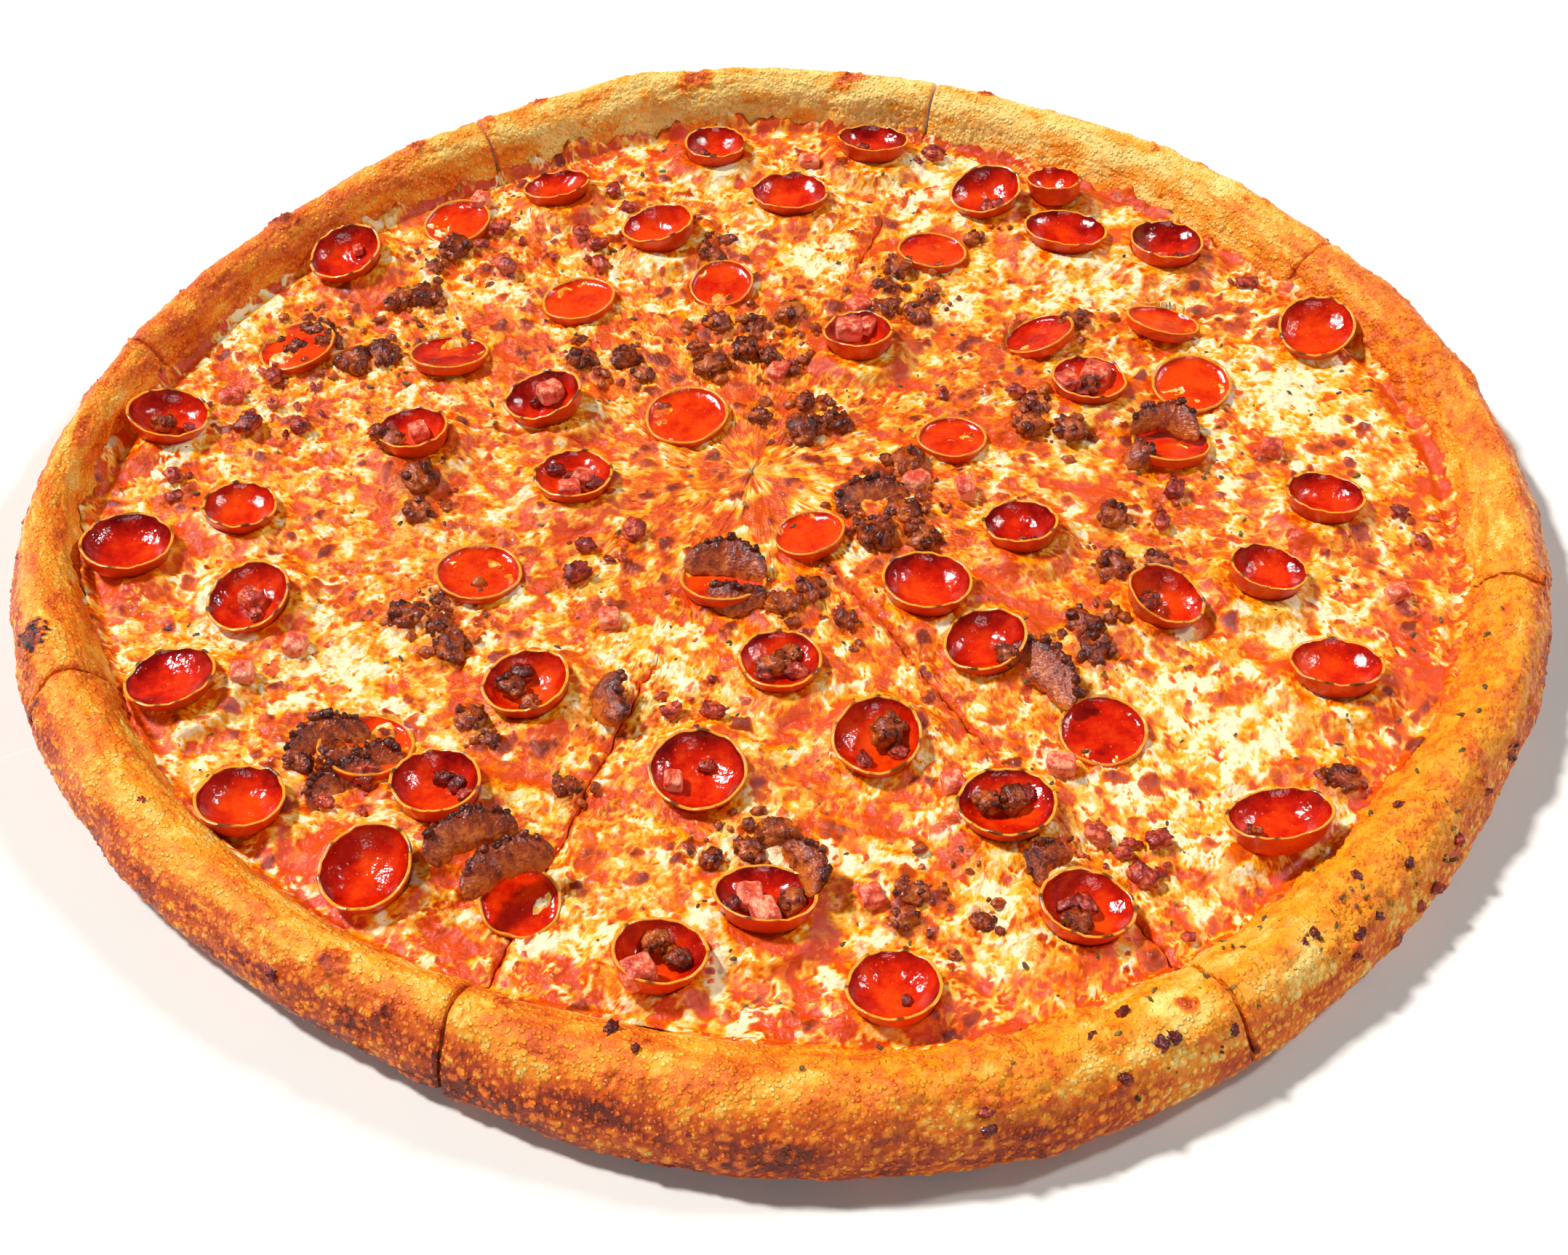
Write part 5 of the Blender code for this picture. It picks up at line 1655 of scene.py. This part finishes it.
class PIZZA_OT_crust(bpy.types.Operator):
    """Make the eight baked rims and bases"""

    bl_idname = "pizza.crust"
    bl_label = "Crust"

    def execute(self, context):
        material = crust_finish(tints())
        for index in range(SLICES):
            piece = make_piece(f"crust_{index + 1}", material, *make_crust(index))
            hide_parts(f"slice_{index + 1}_crust")
        return {"FINISHED"}


class PIZZA_OT_cheese(bpy.types.Operator):
    """Make the eight slices of melted cheese"""

    bl_idname = "pizza.cheese"
    bl_label = "Cheese"

    def execute(self, context):
        material = cheese_finish(tints())
        for index in range(SLICES):
            piece = make_piece(f"cheese_{index + 1}", material, *make_cheese(index))
            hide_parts(f"slice_{index + 1}_cheese")
        return {"FINISHED"}


class PIZZA_OT_pepperoni(bpy.types.Operator):
    """Make the cups and the half-buried slices of pepperoni"""

    bl_idname = "pizza.pepperoni"
    bl_label = "Pepperoni"

    def execute(self, context):
        material = pepperoni_finish(tints())
        for number in range(len(CUPS)):
            piece = make_cup(number, material)
            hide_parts(f"pepperoni_{number + 1:02d}")
        make_buried_slices(material)
        return {"FINISHED"}


class PIZZA_OT_sausage(bpy.types.Operator):
    """Make the crumbled sausage and its three largest pieces"""

    bl_idname = "pizza.sausage"
    bl_label = "Sausage"

    def execute(self, context):
        t = tints()
        material = meat_finish("sausage", t.sausage_dark, t.sausage_middle, t.sausage_light, 0.12)
        make_sausage(material)
        make_sausage_strips(material)
        for number in range(len(SAUSAGE_PIECES)):
            piece = make_large_sausage(number, material)
            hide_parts(f"sausage_{number + 1}")
        return {"FINISHED"}


class PIZZA_OT_bacon(bpy.types.Operator):
    """Make the bacon bits"""

    bl_idname = "pizza.bacon"
    bl_label = "Bacon"

    def execute(self, context):
        t = tints()
        material = meat_finish("bacon", t.bacon_dark, t.bacon_middle, t.bacon_light, 0.12)
        make_bacon(material)
        return {"FINISHED"}


class PIZZA_OT_ham(bpy.types.Operator):
    """Make the diced ham"""

    bl_idname = "pizza.ham"
    bl_label = "Ham"

    def execute(self, context):
        t = tints()
        material = meat_finish("ham", t.ham_dark, t.ham_middle, t.ham_light, 0.14)
        make_ham(material)
        return {"FINISHED"}


class PIZZA_OT_herbs(bpy.types.Operator):
    """Make the dried herb flecks"""

    bl_idname = "pizza.herbs"
    bl_label = "Herbs"

    def execute(self, context):
        t = tints()
        material = meat_finish("dried herbs", t.herb_dark, t.herb_dark, t.herb_light, 0.5)
        make_herbs(material)
        return {"FINISHED"}


def add_object(name, data):
    """A new object in the scene, which holds the data."""
    thing = bpy.data.objects.new(name, data)
    bpy.context.scene.collection.objects.link(thing)
    return thing


def soft_light(name, place, width, strength, colour=(1.0, 1.0, 1.0)):
    """Even light from far off, from a place's direction, as wide in the sky as so many degrees."""
    light = bpy.data.lights.new(name, "SUN")
    light.energy, light.angle, light.color = strength, math.radians(width), colour
    lamp = add_object(name, light)
    lamp.location = place
    lamp.rotation_euler = (-Vector(place)).to_track_quat("-Z", "Y").to_euler()


def make_floor():
    """A plain pale floor, far wider than the pizza."""
    f = Finish("pale floor")
    shade = f.mix(f.noise(6, 2), [c * 0.97 for c in tints().floor], tints().floor)
    mesh = bpy.data.meshes.new("floor")
    far = FLOOR_REACH
    corners = [(-far, -far, 0), (far, -far, 0), (far, far, 0), (-far, far, 0)]
    mesh.from_pydata(corners, [], [(0, 1, 2, 3)])
    mesh.materials.append(f.finish(shade, 0.75, f.bump(f.noise(900, 2), 0.0001, 0.3)))
    return add_object("floor", mesh)


def make_surroundings(sky):
    """Pale surroundings that are brighter near the horizon than above."""
    world = bpy.data.worlds.new("surroundings")
    world.use_nodes = True
    nodes, links = world.node_tree.nodes, world.node_tree.links
    way, apart = nodes.new("ShaderNodeTexCoord"), nodes.new("ShaderNodeSeparateXYZ")
    fade = nodes.new("ShaderNodeMapRange")
    fade.interpolation_type = "SMOOTHSTEP"
    for key, value in (("From Min", 0.02), ("From Max", 0.3), ("To Min", 0.45), ("To Max", sky)):
        fade.inputs[key].default_value = value
    background = nodes["Background"]
    background.inputs["Color"].default_value = (0.95, 0.97, 1.0, 1.0)
    links.new(way.outputs["Generated"], apart.inputs[0])
    links.new(apart.outputs["Z"], fade.inputs["Value"])
    links.new(fade.outputs["Result"], background.inputs["Strength"])
    return world


def make_camera():
    """The camera at the photograph's viewpoint."""
    camera = bpy.data.cameras.new("camera")
    camera.sensor_fit = "HORIZONTAL"
    camera.sensor_width = SENSOR_WIDTH
    camera.lens = FOCAL_PIXELS / IMAGE_WIDTH * SENSOR_WIDTH
    camera.clip_start, camera.clip_end = 0.01, 50.0
    eye = add_object("camera", camera)
    eye.location = CAMERA_PLACE
    eye.rotation_euler = (math.radians(90 - CAMERA_PITCH_DEG), 0, 0)
    return eye


class PIZZA_OT_stage(bpy.types.Operator):
    """Make the pale floor, the soft light and the camera"""

    bl_idname = "pizza.stage"
    bl_label = "Stage"

    def execute(self, context):
        scene, lights = context.scene, context.scene.pizza_lights
        floor = make_floor()
        soft_light("key", (-0.85, 0.45, 1.1), 7, lights.key, (1.0, 0.98, 0.95))
        soft_light("side", (0.95, 0.45, 0.9), 7, 0.32 * lights.key, (1.0, 0.99, 0.97))
        soft_light("fill", (0.1, -1.1, 0.9), 24, lights.fill)
        scene.world = make_surroundings(lights.sky)
        scene.camera = make_camera()
        scene.view_settings.view_transform = "Standard"
        scene.view_settings.look = "None"
        return {"FINISHED"}


OPERATORS = (
    PIZZA_OT_crust,
    PIZZA_OT_cheese,
    PIZZA_OT_pepperoni,
    PIZZA_OT_sausage,
    PIZZA_OT_bacon,
    PIZZA_OT_ham,
    PIZZA_OT_herbs,
    PIZZA_OT_stage,
)


class PIZZA_PT_panel(bpy.types.Panel):
    """The pizza's pieces, one button each"""

    bl_idname = "PIZZA_PT_panel"
    bl_label = "Pizza"
    bl_space_type = "VIEW_3D"
    bl_region_type = "UI"
    bl_category = "Pizza"

    def draw(self, context):
        for operator in OPERATORS:
            self.layout.operator(operator.bl_idname)
        scene = context.scene
        for group in (scene.pizza_sizes, scene.pizza_tints, scene.pizza_lights):
            for key in group.__annotations__:
                self.layout.prop(group, key)


CLASSES = (PizzaSizes, PizzaTints, PizzaLights, *OPERATORS, PIZZA_PT_panel)


def register():
    for item in CLASSES:
        bpy.utils.register_class(item)
    bpy.types.Scene.pizza_sizes = bpy.props.PointerProperty(type=PizzaSizes)
    bpy.types.Scene.pizza_tints = bpy.props.PointerProperty(type=PizzaTints)
    bpy.types.Scene.pizza_lights = bpy.props.PointerProperty(type=PizzaLights)


def unregister():
    del bpy.types.Scene.pizza_lights
    del bpy.types.Scene.pizza_tints
    del bpy.types.Scene.pizza_sizes
    for item in reversed(CLASSES):
        bpy.utils.unregister_class(item)


def main():
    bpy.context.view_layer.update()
    register()
    for operator in OPERATORS:
        group, name = operator.bl_idname.split(".")
        getattr(getattr(bpy.ops, group), name)()


if __name__ == "__main__":
    main()
